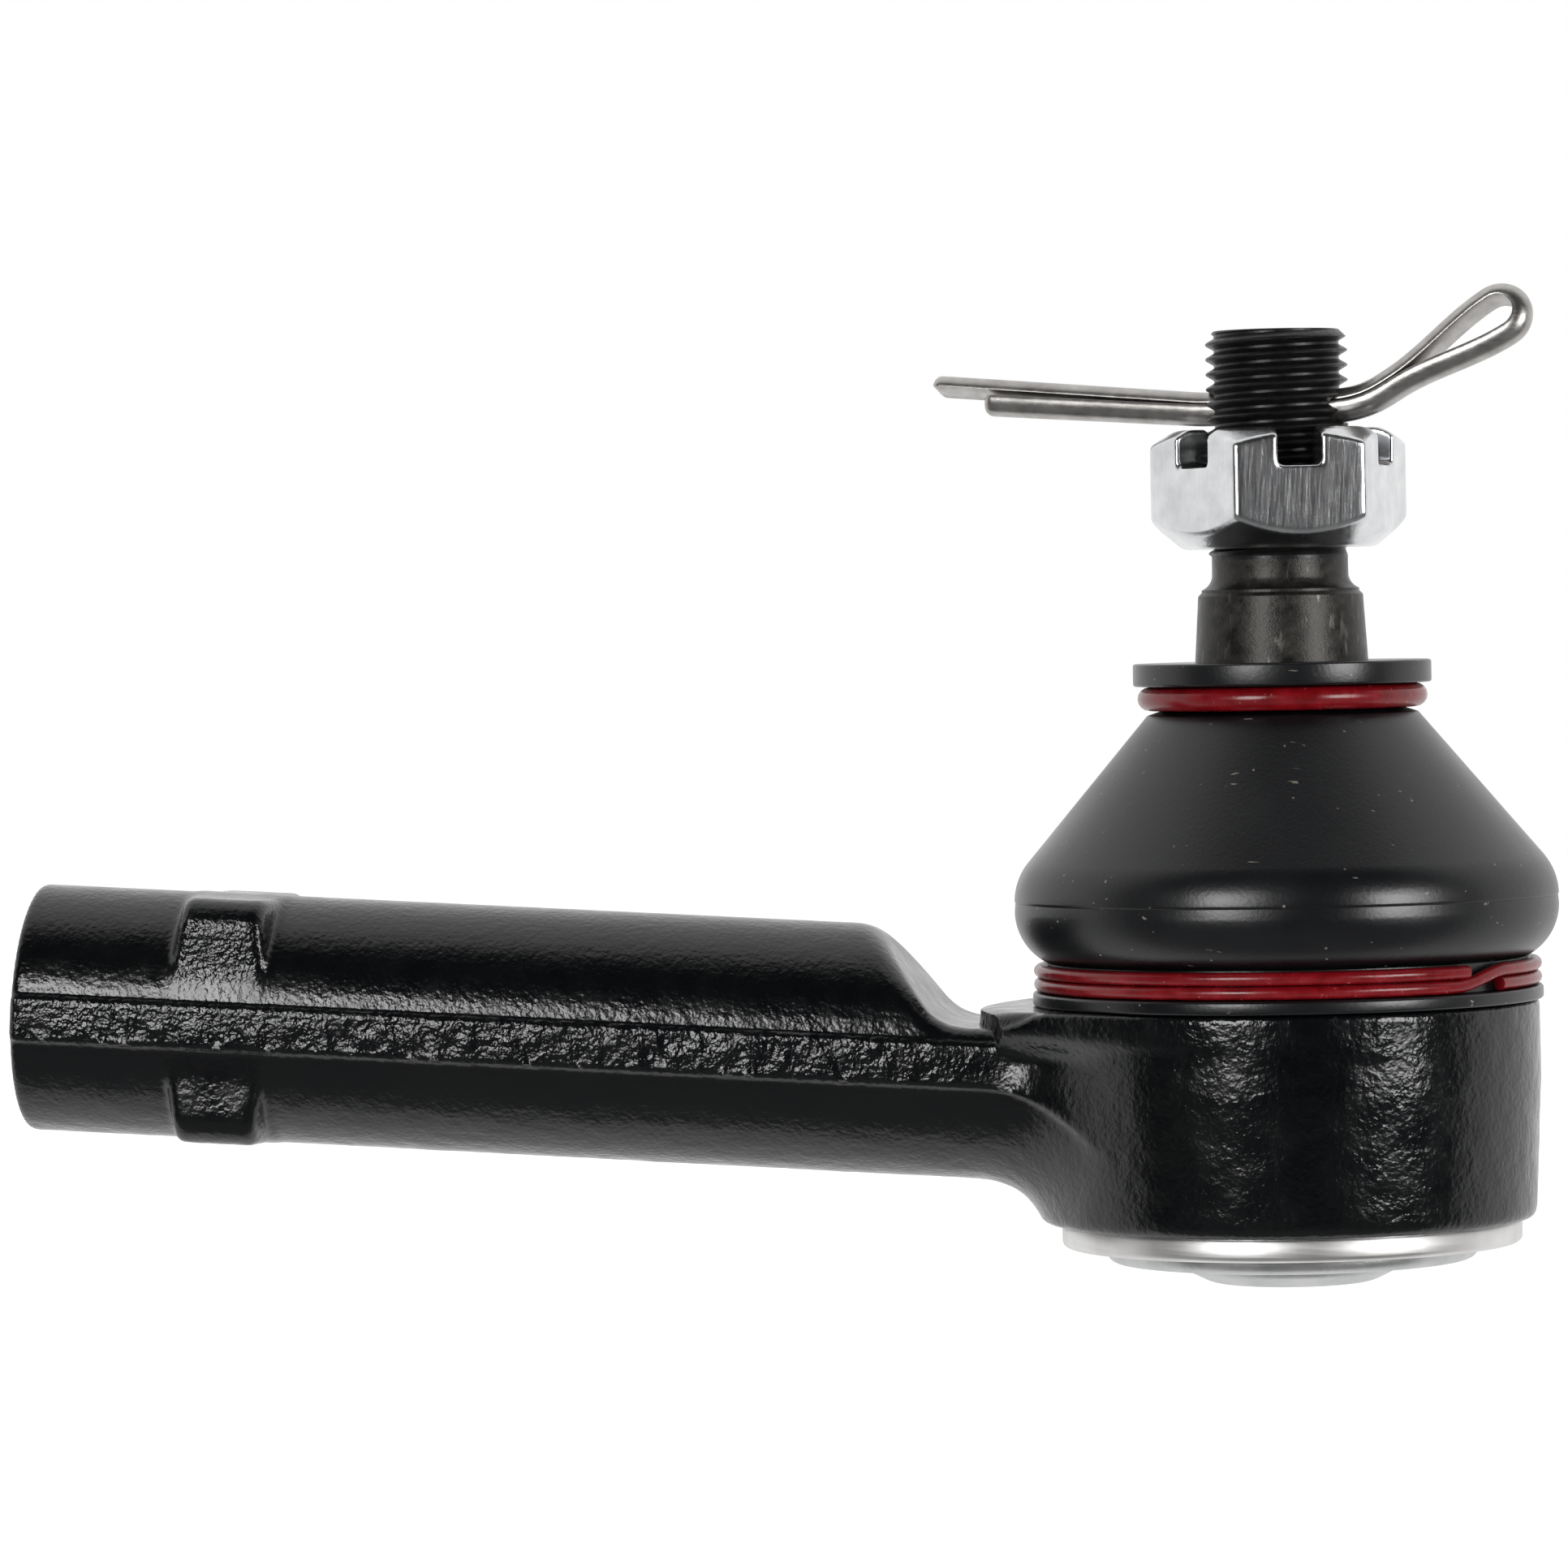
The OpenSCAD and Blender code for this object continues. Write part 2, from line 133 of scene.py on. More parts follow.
def camera_axes():
    """Right, up and back directions of the camera, in the row frame."""
    sin_a, cos_a = math.sin(CAMERA_AZIMUTH), math.cos(CAMERA_AZIMUTH)
    sin_e, cos_e = math.sin(CAMERA_ELEVATION), math.cos(CAMERA_ELEVATION)
    back = np.array([sin_a * cos_e, -cos_a * cos_e, sin_e])
    right = np.array([cos_a, sin_a, 0])
    up = np.cross(back, right)
    sin_r, cos_r = math.sin(CAMERA_ROLL), math.cos(CAMERA_ROLL)
    rolled = np.array([right * cos_r + up * sin_r, up * cos_r - right * sin_r, back])
    return rolled @ STUD_AXES


VIEW_RIGHT, VIEW_UP, VIEW_BACK = camera_axes()


def make_camera():
    data = bpy.data.cameras.new("camera")
    data.lens = CAMERA_LENS
    data.sensor_width = CAMERA_SENSOR
    data.clip_start = 0.01
    camera = bpy.data.objects.new("camera", data)
    bpy.context.scene.collection.objects.link(camera)
    target = BALL + AIM_HEIGHT * UP
    place = target + AIM_RIGHT * VIEW_RIGHT + AIM_UP * VIEW_UP + CAMERA_DISTANCE * VIEW_BACK
    matrix = Matrix(np.array([VIEW_RIGHT, VIEW_UP, VIEW_BACK]).T.tolist()).to_4x4()
    matrix.translation = Vector(place * MM)
    camera.matrix_world = matrix
    bpy.context.scene.camera = camera


make_camera()

# ---------------------------------------------------------------- shader nodes


class Tree:
    """A node tree that is built with short calls."""

    def __init__(self, tree):
        self.tree = tree
        tree.nodes.clear()

    def add(self, kind, inputs=(), **settings):
        """A node whose inputs are set or linked by name or number."""
        node = self.tree.nodes.new(kind)
        for key, value in settings.items():
            setattr(node, key, value)
        for key, value in dict(inputs).items():
            if isinstance(value, bpy.types.NodeSocket):
                self.tree.links.new(value, node.inputs[key])
            else:
                node.inputs[key].default_value = value
        return node

    def place(self, scale=(1, 1, 1), turn=(0, 0, 0)):
        """The piece's own coordinates, scaled and turned."""
        own = self.add("ShaderNodeTexCoord").outputs["Object"]
        return self.add("ShaderNodeMapping", {"Vector": own, "Scale": scale, "Rotation": turn}).outputs[0]

    def noise(self, size_mm, detail=3, rough=0.5, stretch=(1, 1, 1), turn=(0, 0, 0)):
        """Noise from 0 to 1 with lumps of about size_mm, shrunk along an axis by its stretch."""
        vector = self.place(stretch, turn)
        inputs = {"Vector": vector, "Scale": 1 / (size_mm * MM), "Detail": detail, "Roughness": rough}
        return self.add("ShaderNodeTexNoise", inputs).outputs[0]

    def ramp(self, factor, stops):
        """A colour for each position from 0 to 1."""
        node = self.add("ShaderNodeValToRGB", {0: factor})
        elements = node.color_ramp.elements
        while len(elements) < len(stops):
            elements.new(0.5)
        for element, (position, colour) in zip(elements, stops):
            element.position = position
            element.color = (*colour, 1)
        return node.outputs[0]

    def span(self, value, low, high, to_low=0.0, to_high=1.0):
        inputs = {0: value, 1: low, 2: high, 3: to_low, 4: to_high}
        return self.add("ShaderNodeMapRange", inputs).outputs[0]

    def math(self, operation, first, second):
        return self.add("ShaderNodeMath", {0: first, 1: second}, operation=operation).outputs[0]

    def mix(self, factor, first, second, way="MIX"):
        """Colours mixed by a factor."""
        inputs = {0: factor, 6: first, 7: second}
        return self.add("ShaderNodeMix", inputs, data_type="RGBA", blend_type=way).outputs[2]

    def bump(self, height, depth_mm, under=None):
        inputs = {"Height": height, "Distance": depth_mm * MM, "Strength": 1.0}
        if under is not None:
            inputs["Normal"] = under
        return self.add("ShaderNodeBump", inputs).outputs[0]


def surface(name, build):
    """A material from a function that returns the Principled shader's inputs."""
    material = bpy.data.materials.new(name)
    material.use_nodes = True
    tree = Tree(material.node_tree)
    shader = tree.add("ShaderNodeBsdfPrincipled", build(tree))
    tree.add("ShaderNodeOutputMaterial", {0: shader.outputs[0]})
    return material


def grey(value):
    return (value, value, value)


# Turns a texture's axes so that its Z runs along the stud
STUD_TURN = (0, math.atan2(-UP[0], UP[2]), 0)


def paint(tree):
    """Thick gloss black paint over the grain of a forging."""
    broad = tree.noise(9, detail=2)
    grain = tree.noise(0.45, detail=2, rough=0.45)
    peel = tree.noise(1.4, detail=1)
    fine = tree.noise(0.2, detail=1)
    rough = tree.add("ShaderNodeAttribute", attribute_name="roughcast").outputs["Fac"]
    depth = tree.math("MULTIPLY", grain, tree.span(rough, 0, 1, 0.4, 1.0))
    normal = tree.bump(peel, 0.04)
    normal = tree.bump(depth, 0.13, normal)
    normal = tree.bump(fine, 0.006, normal)
    colour = tree.ramp(broad, [(0.3, (0.0007, 0.001, 0.0015)), (0.7, (0.0015, 0.0018, 0.002))])
    gloss = tree.span(tree.noise(2.4), 0.3, 0.7, 0.13, 0.24)
    return {"Base Color": colour, "Roughness": gloss, "Normal": normal, "IOR": 1.5}


def turned_rings(tree, size_mm, turn=STUD_TURN):
    """Fine tool marks that run round the stud's axis."""
    return tree.noise(size_mm, detail=4, rough=0.6, stretch=(0.01, 0.01, 1), turn=turn)


def machined(tree):
    """Freshly turned bright steel with fine rings."""
    rings = turned_rings(tree, 0.16)
    stain = tree.noise(5, detail=4)
    colour = tree.ramp(stain, [(0.35, (0.62, 0.61, 0.6)), (0.65, (0.75, 0.745, 0.735))])
    return {
        "Base Color": colour,
        "Metallic": 1.0,
        "Roughness": tree.span(rings, 0.3, 0.7, 0.36, 0.46),
        "Normal": tree.bump(rings, 0.004),
    }


def pressed(tree):
    """Pressed sheet steel with a fine matte grain."""
    grain = tree.noise(0.3, detail=3)
    stain = tree.noise(3.5, detail=4)
    colour = tree.ramp(stain, [(0.35, (0.5, 0.51, 0.51)), (0.65, (0.66, 0.665, 0.66))])
    return {
        "Base Color": colour,
        "Metallic": 1.0,
        "Roughness": tree.span(stain, 0.3, 0.7, 0.38, 0.5),
        "Normal": tree.bump(grain, 0.03),
    }


def phosphate(tree):
    """Dark phosphated steel with a brownish mottle and scuffs."""
    mottle = tree.noise(1.1, detail=5, rough=0.65)
    grain = tree.noise(0.18, detail=3)
    scuffs = tree.noise(0.7, detail=3, stretch=(1, 1, 0.25), turn=STUD_TURN)
    dark = tree.ramp(mottle, [(0.35, (0.016, 0.0155, 0.015)), (0.7, (0.045, 0.042, 0.037))])
    worn = tree.span(scuffs, 0.62, 0.72)
    colour = tree.mix(worn, dark, (0.11, 0.104, 0.094, 1))
    return {
        "Base Color": colour,
        "Metallic": tree.span(worn, 0, 1, 0.75, 0.95),
        "Roughness": tree.span(mottle, 0.3, 0.7, 0.3, 0.46),
        "Normal": tree.bump(grain, 0.02, tree.bump(mottle, 0.03)),
    }


def thread_steel(tree):
    """Nearly black oiled thread."""
    mottle = tree.noise(0.6, detail=4)
    colour = tree.ramp(mottle, [(0.35, grey(0.004)), (0.7, grey(0.013))])
    return {
        "Base Color": colour,
        "Metallic": tree.span(mottle, 0.3, 0.7, 0.3, 0.6),
        "Roughness": tree.span(mottle, 0.3, 0.7, 0.3, 0.42),
        "Normal": tree.bump(mottle, 0.03),
    }


def zinc(tree):
    """Bright zinc with vertical drawing scratches and small pits."""
    streaks = tree.noise(0.25, detail=4, rough=0.6, stretch=(1, 1, 0.07), turn=STUD_TURN)
    pits = tree.noise(0.45, detail=3)
    cloud = tree.noise(2.5, detail=3)
    colour = tree.ramp(cloud, [(0.35, (0.62, 0.63, 0.645)), (0.65, (0.76, 0.765, 0.77))])
    normal = tree.bump(streaks, 0.011)
    return {
        "Base Color": colour,
        "Metallic": 1.0,
        "Roughness": tree.span(streaks, 0.3, 0.7, 0.16, 0.26),
        "Normal": tree.bump(pits, 0.006, normal),
    }


def wire(tree):
    """Drawn steel wire, grey with brown drawing marks."""
    along = tree.noise(0.2, detail=4, stretch=(0.06, 1, 1))
    stain = tree.noise(1.6, detail=4)
    colour = tree.ramp(stain, [(0.35, (0.36, 0.345, 0.33)), (0.65, (0.5, 0.485, 0.47))])
    return {
        "Base Color": colour,
        "Metallic": 1.0,
        "Roughness": tree.span(along, 0.3, 0.7, 0.28, 0.38),
        "Normal": tree.bump(along, 0.006),
    }


def red_coat(tree):
    """Gloss dark red coating with dust and rubbed spots."""
    patch = tree.noise(1.4, detail=4)
    dust = tree.noise(0.35, detail=2)
    red = tree.ramp(patch, [(0.3, (0.095, 0.0015, 0.003)), (0.7, (0.155, 0.003, 0.006))])
    colour = tree.mix(tree.span(dust, 0.7, 0.78, 0, 0.5), red, (0.3, 0.2, 0.19, 1))
    return {
        "Base Color": colour,
        "Roughness": tree.span(patch, 0.3, 0.7, 0.18, 0.3),
        "Normal": tree.bump(patch, 0.03),
        "Specular IOR Level": 0.4,
    }


def rubber(tree):
    """Moulded black rubber with a soft sheen, dust specks and short pale fibres."""
    haze = tree.noise(8, detail=3)
    skin = tree.noise(0.35, detail=3)
    base = tree.ramp(haze, [(0.3, (0.0018, 0.0021, 0.0028)), (0.7, (0.003, 0.0034, 0.0042))])
    speck = tree.add("ShaderNodeTexVoronoi", {"Vector": tree.place(), "Scale": 850.0})
    near = tree.span(speck.outputs["Distance"], 0.07, 0.12, 1, 0)
    pick = tree.add("ShaderNodeSeparateColor", {0: speck.outputs["Color"]})
    dust = tree.math("MULTIPLY", near, tree.span(pick.outputs[0], 0.86, 0.88))
    lint = tree.noise(0.5, detail=2, stretch=(0.12, 1, 1), turn=(0.5, 0.8, 0.3))
    lint_where = tree.span(tree.noise(3.2, detail=2), 0.54, 0.58)
    fibre = tree.math("MULTIPLY", tree.span(lint, 0.7, 0.72), lint_where)
    marks = tree.math("MAXIMUM", dust, fibre)
    colour = tree.mix(tree.math("MULTIPLY", marks, 0.75), base, (0.16, 0.15, 0.12, 1))
    return {
        "Base Color": colour,
        "Roughness": tree.span(haze, 0.3, 0.7, 0.25, 0.33),
        "Normal": tree.bump(skin, 0.012),
        "Specular IOR Level": 0.5,
    }


def plastic(tree):
    """Moulded bearing plastic."""
    cloud = tree.noise(3)
    return {
        "Base Color": tree.ramp(cloud, [(0.3, (0.8, 0.77, 0.68)), (0.7, (0.88, 0.86, 0.8))]),
        "Roughness": tree.span(cloud, 0.3, 0.7, 0.4, 0.5),
        "Normal": tree.bump(tree.noise(0.3), 0.01),
    }


def spring(tree):
    """Oiled spring steel with rings from rolling."""
    rings = turned_rings(tree, 0.3)
    return {
        "Base Color": tree.ramp(rings, [(0.3, (0.22, 0.23, 0.25)), (0.7, (0.36, 0.37, 0.39))]),
        "Metallic": 1.0,
        "Roughness": tree.span(rings, 0.3, 0.7, 0.3, 0.42),
        "Normal": tree.bump(rings, 0.01),
    }


PAINT = surface("black_paint", paint)
MACHINED = surface("turned_steel", machined)
PRESSED = surface("pressed_steel", pressed)
PHOSPHATE = surface("phosphated_steel", phosphate)
THREAD = surface("thread_steel", thread_steel)
ZINC = surface("bright_zinc", zinc)
WIRE = surface("drawn_wire", wire)
RED = surface("red_coating", red_coat)
RUBBER = surface("moulded_rubber", rubber)
PLASTIC = surface("bearing_plastic", plastic)
SPRING = surface("spring_steel", spring)

# ---------------------------------------------------------------- mesh making

MERGE_MM = 0.002
SHARP_ANGLE = math.radians(38)


def add_piece(
    name, shells, material, body=None, replaced=(), sharp=SHARP_ANGLE, roughcast=None
):
    """A piece from (points, faces) shells in millimetres in the row frame.

    Body None leaves it attached to no body. Roughcast is a value from 0 to 1 for each point."""
    points, faces = [], []
    for shell_points, shell_faces in shells:
        start = sum(len(block) for block in points)
        points.append(np.asarray(shell_points, float) * MM)
        faces += [[corner + start for corner in face] for face in shell_faces]
    mesh = bpy.data.meshes.new(name)
    mesh.from_pydata(np.concatenate(points).tolist(), [], faces)
    if roughcast is not None:
        layer = mesh.attributes.new("roughcast", "FLOAT", "POINT")
        layer.data.foreach_set("value", roughcast.astype(np.float32))
    work = bmesh.new()
    work.from_mesh(mesh)
    bmesh.ops.remove_doubles(work, verts=work.verts, dist=MERGE_MM * MM)
    bmesh.ops.dissolve_degenerate(work, edges=work.edges, dist=MERGE_MM * MM / 10)
    bmesh.ops.recalc_face_normals(work, faces=work.faces)
    work.to_mesh(mesh)
    work.free()
    mesh.shade_smooth()
    mesh.set_sharp_from_angle(angle=sharp)
    mesh.materials.append(material)
    piece = bpy.data.objects.new(name, mesh)
    bpy.context.scene.collection.objects.link(piece)
    if body:
        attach(piece, body)
    if replaced:
        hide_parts(*replaced)
    return piece


def grid_faces(rows, columns, wrap_rows=False, wrap_columns=False):
    """Quads of a grid of rows times columns points, closed in either direction."""
    last_row = rows if wrap_rows else rows - 1
    last_column = columns if wrap_columns else columns - 1
    faces = []
    for row in range(last_row):
        above = (row + 1) % rows
        for column in range(last_column):
            beside = (column + 1) % columns
            faces.append([
                row * columns + column,
                row * columns + beside,
                above * columns + beside,
                above * columns + column,
            ])
    return faces


def arc(centre, radius, start, end, steps):
    """Points on an arc, with its angles in degrees."""
    angles = np.radians(np.linspace(start, end, steps + 1))
    return [(centre[0] + radius * math.cos(a), centre[1] + radius * math.sin(a)) for a in angles]


def filleted(corners, steps=5):
    """An outline from (radius, height, fillet) corners, with each fillet as an arc of that radius."""
    outline = []
    for index, corner in enumerate(corners):
        here = np.array(corner[:2], float)
        fillet = corner[2] if len(corner) > 2 else 0
        if not fillet:
            outline.append(tuple(here))
            continue
        back = np.array(corners[index - 1][:2], float) - here
        ahead = np.array(corners[(index + 1) % len(corners)][:2], float) - here
        back, ahead = back / np.linalg.norm(back), ahead / np.linalg.norm(ahead)
        half = math.acos(np.clip(back @ ahead, -1, 1)) / 2
        reach = fillet / math.tan(half)
        middle_way = (back + ahead) / np.linalg.norm(back + ahead)
        centre = here + middle_way * fillet / math.sin(half)
        first, last = here + back * reach - centre, here + ahead * reach - centre
        start = math.atan2(first[1], first[0])
        sweep = (math.atan2(last[1], last[0]) - start + math.pi) % (2 * math.pi) - math.pi
        for step in range(steps + 1):
            angle = start + sweep * step / steps
            outline.append((centre[0] + fillet * math.cos(angle), centre[1] + fillet * math.sin(angle)))
    return outline


def lathe(outline, segments=224):
    """A closed shell from a closed outline of (radius, height) points turned round the stud's axis."""
    angles = np.linspace(0, 2 * math.pi, segments, endpoint=False)
    radius = np.array([point[0] for point in outline])[:, None]
    height = np.array([point[1] for point in outline])[:, None]
    turned = np.stack([
        radius * np.cos(angles),
        radius * np.sin(angles),
        height + 0 * angles,
    ], axis=-1)
    return to_row(turned.reshape(-1, 3)), grid_faces(len(outline), segments, True, True)


def sweep(path, sections):
    """A closed shell of section rings along a path: each ring is a list of points round its centre."""
    rings = np.array([centre + ring for centre, ring in zip(path, sections)])
    count, around = rings.shape[:2]
    faces = grid_faces(count, around, False, True)
    faces.append(list(range(around))[::-1])
    faces.append([(count - 1) * around + corner for corner in range(around)])
    return rings.reshape(-1, 3), faces


def helix_rows(low, high, pitch, segments, rows_per_turn):
    """A grid whose rows follow a helix: the number of rows, then each point's angle, height and phase.

    The phase is 0 at a thread's crest and 0.5 at its root."""
    step = pitch / rows_per_turn
    rows = int(math.ceil((high - low) / step)) + 2 * rows_per_turn
    row, column = np.meshgrid(np.arange(rows), np.arange(segments), indexing="ij")
    angle = 2 * math.pi * column / segments
    free = low + (row - rows_per_turn + column / segments * rows_per_turn) * step
    height = np.clip(free, low, high)
    phase = ((height - low) / pitch - angle / (2 * math.pi)) % 1
    return rows, angle, height, np.minimum(phase, 1 - phase)


def helix_faces(rows, segments, rows_per_turn):
    """Quads of a helix grid, whose last column meets the first one a turn further on."""
    faces = []
    for i in range(rows - 1):
        for j in range(segments - 1):
            corner = i * segments + j
            faces.append([corner, corner + 1, corner + segments + 1, corner + segments])
        far, farther = min(i + rows_per_turn, rows - 1), min(i + 1 + rows_per_turn, rows - 1)
        last = i * segments + segments - 1
        faces.append([last, far * segments, farther * segments, last + segments])
    return faces


def threaded(low, high, radius_at, pitch, segments=96, rows_per_turn=12):
    """A thread's skin from low to high, closed by flat ends.

    radius_at gives the radius for a height and a phase."""
    rows, angle, height, phase = helix_rows(low, high, pitch, segments, rows_per_turn)
    radius = radius_at(height, phase)
    points = np.stack([radius * np.cos(angle), radius * np.sin(angle), height], axis=-1)
    faces = helix_faces(rows, segments, rows_per_turn)
    flat = points.reshape(-1, 3)
    ends = np.array([[0, 0, low], [0, 0, high]], float)
    centre_low, centre_high = len(flat), len(flat) + 1
    top = (rows - 1) * segments
    for j in range(segments):
        k = (j + 1) % segments
        faces.append([centre_low, k, j])
        faces.append([centre_high, top + j, top + k])
    return to_row(np.concatenate([flat, ends])), faces


# ---------------------------------------------------------------- shapes from distance fields


def soft_min(first, second, blend):
    """The smaller distance, with the corner between the two shapes filled over about the blend."""
    share = np.clip(0.5 + 0.5 * (second - first) / blend, 0, 1)
    return second + (first - second) * share - blend * share * (1 - share)


def soft_max(first, second, blend):
    return -soft_min(-first, -second, blend)


def surface_net(field, low, high, step):
    """A mesh of the field's zero surface: one point in each mixed cell, moved onto the surface."""
    counts = np.ceil((high - low) / step).astype(int) + 1
    axes = [low[i] + step * np.arange(counts[i]) for i in range(3)]
    values = np.empty(counts, np.float32)
    for i, x in enumerate(axes[0]):
        slab = np.stack(np.meshgrid([x], axes[1], axes[2], indexing="ij"), axis=-1)
        values[i] = field(slab.reshape(-1, 3)).reshape(counts[1], counts[2])
    cells, places, flips = [], [], []
    strides = np.array([counts[1] * counts[2], counts[2], 1])
    for axis in range(3):
        along = np.eye(3, dtype=int)[axis]
        first = values[tuple(slice(0, n - a) for n, a in zip(counts, along))]
        second = values[tuple(slice(a, n) for n, a in zip(counts, along))]
        start = np.argwhere((first < 0) != (second < 0))
        near, far = first[tuple(start.T)], second[tuple(start.T)]
        places.append(start + (near / (near - far))[:, None] * along)
        flips.append(near < 0)
        one, two = np.eye(3, dtype=int)[(axis + 1) % 3], np.eye(3, dtype=int)[(axis + 2) % 3]
        corners = [start, start - one, start - one - two, start - two]
        cells.append(np.stack([corner @ strides for corner in corners], axis=1))
    cells, flips, places = np.concatenate(cells), np.concatenate(flips), np.concatenate(places)
    _, quads = np.unique(cells.ravel(), return_inverse=True)
    total = quads.max() + 1
    shares = np.bincount(quads, minlength=total)
    repeated = np.repeat(places, 4, axis=0)
    points = np.stack([np.bincount(quads, repeated[:, i], total) for i in range(3)], axis=1)
    points = low + step * points / shares[:, None]
    quads = quads.reshape(-1, 4)
    quads[flips] = quads[flips][:, ::-1]
    return points, quads[:, ::-1]


def slope(field, points, reach=0.02):
    """Gradient of a field, by differences."""
    moves = np.eye(3) * reach
    return np.stack([field(points + m) - field(points - m) for m in moves], axis=1) / (2 * reach)


def settle(field, points, limit, rounds=4):
    """Moves points onto the field's zero surface, each round by no more than the limit."""
    for _ in range(rounds):
        steep = slope(field, points)
        move = -field(points)[:, None] * steep / np.maximum((steep**2).sum(1), 0.1)[:, None]
        size = np.linalg.norm(move, axis=1, keepdims=True)
        points = points + move * np.minimum(1, limit / np.maximum(size, 1e-9))
    return points


def value_noise(points, size, seed):
    """Smooth random values from -1 to 1, with lumps of about the size."""
    table = np.random.default_rng(seed).uniform(-1, 1, (37, 37, 37))
    cell = np.floor(points / size).astype(int)
    part = points / size - cell
    part = part * part * (3 - 2 * part)
    total = np.zeros(len(points))
    for corner in product((0, 1), repeat=3):
        index = (cell + corner) % 37
        weight = np.prod(np.where(corner, part, 1 - part), axis=1)
        total += weight * table[index[:, 0], index[:, 1], index[:, 2]]
    return total


def step_up(values, low, high):
    """0 below low, 1 above high, and smooth between."""
    share = np.clip((values - low) / (high - low), 0, 1)
    return share * share * (3 - 2 * share)


# ---------------------------------------------------------------- housing

# Gap that the CAD leaves between parts that rest on each other
FIT_GAP = 0.05
ARM_R = 10.55
ARM_EDGE = 0.7
ROUND_LEN = 72.5
NECK_TOP = 2.7
NECK_SLOPE = math.radians(51)
NECK_BLEND = 1.8
CREST_BLEND = 1.5
# Blends between the arm and the socket above and below the arm's axis
ROOT_BLEND_HIGH, ROOT_BLEND_LOW = 3.0, 6.0
# The blend changes from one to the other within this height of the axis
ROOT_BLEND_REACH = 3.5
BAND_Y = ARM_R + 0.2
BAND_HALF = 1.95
BAND_MIDDLE = -0.35
BAND_BLEND = 0.3
# The band's rough surface fades out along the arm between these places
BAND_FADE = (74, 84)
LUG_START, LUG_END = 13.6, 21.9
LUG_HALF_Y, LUG_HALF_Z = 9.9, 10.4
LUG_ROUND = 2.6
# Run of a lug's ends for each millimetre that they stand out of the arm
LUG_DRAFT = 0.3
LUG_EDGE = 0.9
LUG_BLEND = 0.6
# Heights between which the rough surface of a lug's face sets in
LUG_ROUGH = (3.2, 3.9)
SOCKET_TOP = 5.7
SOCKET_LOW = -13.0
# The neck rises into the socket above the arm's axis with this blend, as far out as the ledge
LEDGE_R = 25.8
LEDGE_BLEND = 11.0
LEDGE_REACH = 3
# The socket's top is faced out to this radius
FACED_R = LEDGE_R + 0.8
FACED_EDGE = 0.5
SOCKET_R = 21.05
SOCKET_DRAFT = 0.045
# Height below which the socket's wall is drafted
DRAFT_TOP = -1
SOCKET_EDGE = 1.6
LOW_EDGE = 0.9
COLLAR_R = 18.6
COLLAR_TOP = housing_h.max()
COLLAR_BLEND = 0.2
LIP_LOW = housing_h.min()
LIP_R = 19.3
RECESS_R = plate_r.max() + FIT_GAP
RECESS_TOP = plate_h.max() + FIT_GAP
RECESS_LOW = LIP_LOW + 1.0
PLATE_STEP_R = plate_r[plate_h < RECESS_LOW].max()
PLATE_STEP_LOW = plate_h[plate_r > PLATE_STEP_R - 0.5].min()
LIP_HOLE_R = PLATE_STEP_R + FIT_GAP
CAVITY_R = seat_r.max() + FIT_GAP
CAVITY_TOP = 5.65
MOUTH_LOW_R = 10.25
MOUTH_HIGH_R = 12.35
SLEEVE_R = 7.65
SLEEVE_END = 53.5
VOXEL = 0.36


def lug_distance(x, y, z):
    """A square block round the arm, whose ends slope in as they rise."""
    outside = np.stack([np.abs(y) - LUG_HALF_Y, np.abs(z) - LUG_HALF_Z]) + LUG_ROUND
    square = np.hypot(*np.maximum(outside, 0)) + np.minimum(outside.max(0), 0) - LUG_ROUND
    rise = np.maximum(0, np.hypot(y, z) - ARM_R)
    ends = np.abs(x - (LUG_START + LUG_END) / 2) - (LUG_END - LUG_START) / 2 + LUG_DRAFT * rise
    return soft_max(square, ends, LUG_EDGE)


def forging(points):
    """Distance field of the painted forging's outside."""
    x, y, z = points.T
    stud = to_stud(points)
    radius, height = np.hypot(stud[:, 0], stud[:, 1]), stud[:, 2]
    arm = np.hypot(y, z) - ARM_R
    band = np.maximum(np.abs(y) - BAND_Y, np.abs(z - BAND_MIDDLE) - BAND_HALF)
    arm = soft_min(arm, band, BAND_BLEND)
    arm = soft_min(arm, lug_distance(x, y, z), LUG_BLEND)
    falling = (x - ROUND_LEN) * math.sin(NECK_SLOPE) + (z - ARM_R) * math.cos(NECK_SLOPE)
    arm = soft_max(arm, soft_min(falling, z - NECK_TOP, NECK_BLEND), CREST_BLEND)
    arm = np.maximum(soft_max(arm, -x, ARM_EDGE), x - BALL[0])
    drafted = SOCKET_R - SOCKET_DRAFT * np.maximum(0, DRAFT_TOP - height)
    socket = soft_max(radius - drafted, SOCKET_LOW - height, SOCKET_EDGE)
    lowness = step_up(-z, -ROOT_BLEND_REACH, ROOT_BLEND_REACH)
    blend = ROOT_BLEND_HIGH + (ROOT_BLEND_LOW - ROOT_BLEND_HIGH) * lowness
    blend += (LEDGE_BLEND - blend) * step_up(z, 0, LEDGE_REACH) * (radius < LEDGE_R)
    body = soft_min(arm, socket, blend)
    body = soft_max(body, SOCKET_LOW - height, LOW_EDGE)
    body = soft_max(body, np.minimum(height - SOCKET_TOP, FACED_R - radius), FACED_EDGE)
    return soft_min(body, np.maximum(radius - COLLAR_R, height - COLLAR_TOP), COLLAR_BLEND)


